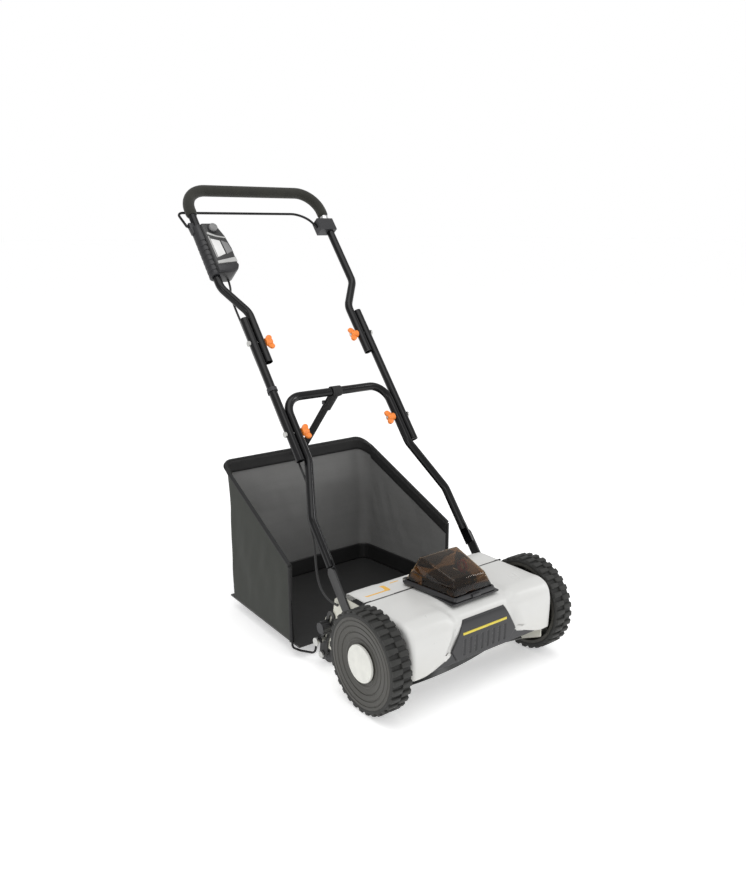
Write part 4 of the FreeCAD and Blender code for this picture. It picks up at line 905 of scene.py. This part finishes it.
# ---------------------------------------------------------------- switch box and bail block
# The box is two halves of dark plastic screwed round the left leg, with a ribbed sleeve, a round
# lock button, a pale blank window and grey trims; the bail turns in its ear and in a block.
box_dark = coated("switch_dark_plastic", (0.028, 0.028, 0.028), 0.34, 40, 900, 0.0003, 0.4)
trim_grey = coated("switch_grey_trim", (0.42, 0.42, 0.41), 0.3, 40, 900, 0.0002, 0.2)
window_pale = coated("switch_pale_window", (0.72, 0.72, 0.71), 0.18, 20, 900, 0.0001, 0.0)
panel_grey = coated("switch_mid_grey", (0.20, 0.20, 0.20), 0.36, 40, 900, 0.0003, 0.2)
paint(bay_black, "bail_block", "cable_clip_middle")
face = 0.0230


def slab(name, outline, low, high, material, bevel=0.0012, segments=2):
    """A flat shape drawn across and along the handle, given thickness outwards."""
    verts = [(x, s, low) for x, s in outline] + [(x, s, high) for x, s in outline]
    return rounded(new_piece(name, verts, prism(len(outline)), material), bevel, segments)


case = slab("case", [(-0.1850, 0.9565), (-0.1560, 0.9568), (-0.1460, 0.9500), (-0.1345, 0.9200),
                     (-0.1290, 0.8850), (-0.1290, 0.8420), (-0.1330, 0.8280), (-0.1430, 0.8205),
                     (-0.1850, 0.8203)], -face, face - 0.0010, box_dark, 0.0050, 4)
chin = slab("chin", [(-0.1845, 0.8405), (-0.1300, 0.8440), (-0.1290, 0.8380), (-0.1345, 0.8270),
                     (-0.1450, 0.8210), (-0.1845, 0.8210)],
            0.0, face + 0.0002, bay_black, 0.0040, 3)
band = slab("band", [(-0.1800, 0.8500), (-0.1302, 0.8600), (-0.1298, 0.8475), (-0.1800, 0.8425)],
            face - 0.004, face + 0.0004, trim_grey, 0.0010, 2)
window = slab("window", [(-0.1765, 0.9115), (-0.1550, 0.9050), (-0.1525, 0.8690),
                         (-0.1745, 0.8600)], face - 0.003, face + 0.0002, window_pale, 0.0008, 2)
side_pad = slab("side_pad", [(-0.1515, 0.9060), (-0.1372, 0.8990), (-0.1328, 0.8760),
                             (-0.1490, 0.8680)],
                face - 0.003, face + 0.0003, panel_grey, 0.0009, 2)
trim = slab("trim", [(-0.1790, 0.9300), (-0.1580, 0.9195), (-0.1365, 0.9150), (-0.1358, 0.9118),
                     (-0.1590, 0.9155), (-0.1800, 0.9240)],
            face - 0.004, face + 0.0006, trim_grey, 0.0007, 2)
edge_trim = slab("edge_trim", [(-0.1800, 0.9180), (-0.1778, 0.9175), (-0.1758, 0.8600),
                               (-0.1780, 0.8590)],
                 face - 0.003, face + 0.0004, trim_grey, 0.0005, 1)
button_at = (-0.160, 0.940)
collar = bar("collar", [(*button_at, out) for out in (0.0130, 0.0236, 0.0242, 0.0242, 0.0236)],
             [0.0128, 0.0128, 0.0122, 0.0108, 0.0104], bay_black, sides=40)
grooves = [(0.8203, 0.0150), (0.8215, 0.0159)]
for i in range(7):
    start = 0.8280 + i * 0.0135
    grooves += [(start, 0.0159), (start + 0.0012, 0.0142),
                (start + 0.0050, 0.0142), (start + 0.0062, 0.0159)]
grooves += [(0.9555, 0.0159), (0.9568, 0.0150)]
ribbed = bar("ribbed", [(-grip_half, s, 0) for s, r in grooves], [r for s, r in grooves],
             bay_black, sides=40)
ear = slab("ear", [(-0.2056, 0.9695), (-0.1925, 0.9695), (-0.1900, 0.9400), (-0.2030, 0.9400)],
           -0.0060, 0.0060, bay_black, 0.0016, 2)
screws = []
for at in ((-0.1370, 0.8900), (-0.1390, 0.8330)):
    shank = [(*at, -out) for out in (face - 0.002, face + 0.0004, face + 0.0008)]
    screws.append(bar("screw", shank, [0.0030, 0.0030, 0.0024], plated, sides=16))
box_piece = tip(join("switch_housing", case, chin, band, window, side_pad, trim, edge_trim, collar,
                     ribbed, ear, *screws))
settle(box_piece, "handle_upper", "black_plastic", "switch_box")
button = bar("lock_cap", [(*button_at, out) for out in (0.0160, 0.0290, 0.0303, 0.0308, 0.0306)],
             [0.0098, 0.0098, 0.0088, 0.0066, 0.0001], panel_grey, sides=40)
settle(tip(button), "lock", "grey_plastic", "lock_button")

# ---------------------------------------------------------------- switch cable
# A round black cable runs from the switch box down the left legs to the deck. It is clipped all
# the way, and bends between the tubes where the handle folds.
sheath = coated("cable_sheath_rubber", (0.012, 0.012, 0.012), 0.36, 60, 700, 0.0001, 0.1)


def cable(name, route):
    """A smooth round cable through its route."""
    curve = bpy.data.curves.new(name, "CURVE")
    curve.dimensions, curve.bevel_depth, curve.bevel_resolution = "3D", 0.0025, 5
    curve.use_fill_caps = True
    line = curve.splines.new("NURBS")
    line.points.add(len(route) - 1)
    for point, place in zip(line.points, route):
        point.co = (*on_handle(*place), 1)
    line.use_endpoint_u, line.order_u, line.resolution_u = True, 3, 10
    holder = bpy.data.objects.new(name + "_line", curve)
    bpy.context.scene.collection.objects.link(holder)
    bpy.context.view_layer.update()
    mesh = bpy.data.meshes.new_from_object(holder)
    bpy.data.objects.remove(holder)
    piece = bpy.data.objects.new(name, mesh)
    bpy.context.scene.collection.objects.link(piece)
    mesh.materials.clear()
    mesh.materials.append(sheath)
    mesh.polygons.foreach_set("use_smooth", [True] * len(mesh.polygons))
    bpy.context.view_layer.update()
    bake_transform(piece)
    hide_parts(name.replace("round_", ""))


cable("round_cable_upper", [
    (-0.1500, 0.8330, -0.0120), (-0.1506, 0.8040, -0.0126), (-0.1560, 0.7860, -0.0155),
    (-0.1595, 0.7580, -0.0156), (-0.1598, 0.7000, -0.0136), (-0.1588, 0.6550, -0.0146),
    (-0.1598, 0.6180, -0.0136), (-0.1598, 0.5720, -0.0126), (-0.1598, 0.5210, -0.0126)])
cable("round_cable_middle", [
    (-0.1598, 0.5210, -0.0126), (-0.1598, 0.4780, -0.0126), (-0.1578, 0.4380, -0.0166),
    (-0.1548, 0.3920, -0.0166), (-0.1558, 0.3450, -0.0146), (-0.1564, 0.2960, -0.0126)])
cable("round_cable_lower", [
    (-0.1564, 0.2960, -0.0126), (-0.1569, 0.2593, -0.0111), (-0.1840, 0.2220, -0.0146),
    (-0.1890, 0.1720, -0.0196), (-0.1950, 0.1380, -0.0316), (-0.2000, 0.1080, -0.0396),
    (-0.2030, 0.0800, -0.0406), (-0.2010, 0.0560, -0.0346), (-0.1950, 0.0400, -0.0276),
    (-0.1900, 0.0320, -0.0226)])

# ---------------------------------------------------------------- grass catcher
# The bag is one sheet of grey woven nylon, dark outside and paler inside, hung from a bound wire
# rim. Its lower edge is hemmed to a black moulded tray, and it bellies and creases between them.
bag_front, bag_back, bag_floor = 0.271, 0.575, 0.030
bag_corner, bag_flare, wire_out = 0.024, 0.012, 0.0028
rear_half = 0.181
cloth_out = Finish("bag_nylon_outside", Specular_IOR_Level=0.25)
cloth_in = Finish("bag_nylon_inside", Specular_IOR_Level=0.25)
for finish, dark, pale in ((cloth_out, (0.030, 0.032, 0.028, 1), (0.052, 0.055, 0.048, 1)),
                           (cloth_in, (0.150, 0.150, 0.148, 1), (0.235, 0.235, 0.230, 1))):
    threads = finish.place.noise(900, 2, (1, 1, 0.12))
    weft = finish.place.noise(900, 2, (0.12, 0.12, 1))
    streak = finish.place.noise(34, 3, (0.12, 0.12, 1))
    finish.feed(Base_Color=(streak * 0.6 + weft * 0.25 + threads * 0.15).blend(dark, pale))
    finish.feed(Roughness=streak * 0.12 + 0.68)
    finish.bump(threads + weft, 0.5, 0.0003)
webbing_black = coated("binding_webbing", (0.012, 0.012, 0.012), 0.72, 30, 1300, 0.0005, 0.3)


def half_at(y):
    return 0.222 - 0.017 * (y - bag_front) / (bag_back - bag_front)


def rim_at(y):
    return 0.207 + (y - bag_front) * 0.4842


plan = [(-half_at(y), y) for y in np.linspace(bag_front, bag_back - bag_corner, 90)]
plan += [(-rear_half - bag_corner * math.cos(a), bag_back - bag_corner + bag_corner * math.sin(a))
         for a in np.linspace(0.2, math.pi / 2, 9)]
plan += [(x, bag_back) for x in np.linspace(-rear_half, 0, 56)[1:]]
plan = np.array(plan + [(-x, y) for x, y in plan[-2::-1]])
plan_out = np.gradient(plan, axis=0)
plan_out = np.stack([-plan_out[:, 1], plan_out[:, 0]], axis=1)
plan_out /= np.linalg.norm(plan_out, axis=1)[:, None]
plan_along = np.concatenate([[0], np.cumsum(np.linalg.norm(np.diff(plan, axis=0), axis=1))])


def bag_strip(name, low, high, rows, inset, loose, *materials):
    """A strip of the bag: heights from 0 up count from the floor, others down from the rim."""
    verts = []
    for i, (x, y) in enumerate(plan):
        top = rim_at(y + (bag_flare if y > bag_back - 0.03 else 0.0)) - 0.0005
        foot = bag_floor + low if low >= 0 else top + low
        head = top + high if high <= 0 else bag_floor + high
        ends = float(smoothstep(min(plan_along[i], plan_along[-1] - plan_along[i]), 0.0, 0.05))
        for k in range(rows + 1):
            z = foot + (head - foot) * k / rows
            tall = (z - bag_floor) / (top - bag_floor)
            slack = math.sin(math.pi * min(1, max(0, tall))) * ends * loose
            fold = noise.noise(Vector((plan_along[i] * 13, z * 5, 3.1)))
            crease = noise.noise(Vector((plan_along[i] * 34 + z * 9, z * 16, 7.7)))
            push = slack * (0.0022 + 0.0052 * fold + 0.0021 * crease) - inset
            flare = bag_flare * float(smoothstep(y, bag_back - 0.03, bag_back)) * float(
                smoothstep(z, 0.250, 0.356))
            verts.append((x + plan_out[i, 0] * push, y + plan_out[i, 1] * push + flare, z))
    return new_piece(name, verts, grid(len(plan), rows + 1), *materials)


bag = bag_strip("woven_bag", 0.0, 0.0, 64, 0.0, 1.0, cloth_out.material, cloth_in.material)
hem_high = bag_strip("rim_hem", -0.027, 0.0, 5, 0.0020, 0.6, webbing_black)
hem_low = bag_strip("tray_lip", 0.0, 0.043, 10, 0.0030, 0.5, matt_black)
for piece, thick in ((bag, 0.0011), (hem_high, 0.0011), (hem_low, 0.0016)):
    wall = thicken(piece, thick)
    if piece is bag:
        wall.material_offset = 1
    settle(piece, "catcher", "black_plastic" if piece is hem_low else "bag_fabric")
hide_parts("catcher_bag")
rim_path = []
for i, (x, y) in enumerate(plan):
    back = bag_flare * float(smoothstep(y, bag_back - 0.03, bag_back))
    rim_path.append((x + plan_out[i, 0] * wire_out, y + plan_out[i, 1] * wire_out + back,
                     rim_at(y + back)))
binding_radius = 0.0042
binding = bar("rim_binding", rim_path, [binding_radius] * len(rim_path), webbing_black, sides=16)
settle(binding, "catcher", "webbing")
posts = []
for side in (-1, 1):
    post_line = [(side * 0.2248, bag_front, z) for z in np.linspace(0.032, 0.204, 20)]
    posts.append(bar("post_binding", post_line, [binding_radius] * 20, webbing_black, sides=16))
post_binding = join("post_bindings", *posts)
settle(post_binding, "catcher", "webbing")
heights = [rim_at(y) - bag_floor for x, y in plan]
paint(matt_black, "catcher_floor")

# ---------------------------------------------------------------- hanger strap
# A flat black webbing strap loops over the handle's cross bar, passes a slider and holds the rear
# of the catcher's rim, so that the bag hangs level.
strap_line = [(0.576, 0.349), (0.5400, 0.3895), (0.5000, 0.4360), (0.4600, 0.4822),
              (0.4270, 0.5208)]
ribbon = []
for (y0, z0), (y1, z1) in zip(strap_line, strap_line[1:]):
    ribbon += [(y0 + (y1 - y0) * t, z0 + (z1 - z0) * t) for t in np.linspace(0, 1, 12)[:-1]]
ribbon.append(strap_line[-1])
bar_at = on_handle(0, 0.498, 0)
loop_radius = 0.0115
ribbon += [(bar_at[1] + loop_radius * math.cos(a), bar_at[2] + loop_radius * math.sin(a))
           for a in np.linspace(math.radians(-20), math.radians(235), 26)]
ribbon += [(0.4220 + (0.4550 - 0.4220) * t, 0.5180 + (0.4800 - 0.5180) * t)
           for t in np.linspace(0, 1, 10)]
verts = [(x, y, z) for y, z in ribbon for x in (-0.0125, -0.0045, 0.0045, 0.0125)]
strap = new_piece("webbing_strap", verts, grid(len(ribbon), 4), webbing_black)
thicken(strap, 0.0015, 0)
bpy.context.view_layer.update()
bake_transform(strap)
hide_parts("hanger_strap")
slider = block("strap_slider", (-0.0160, 0.4400, 0.4985), (0.0160, 0.4480, 0.5075), bay_black,
               0.0012, 2)
bpy.context.view_layer.update()
settle(slider, "handle_lower", "black_plastic")
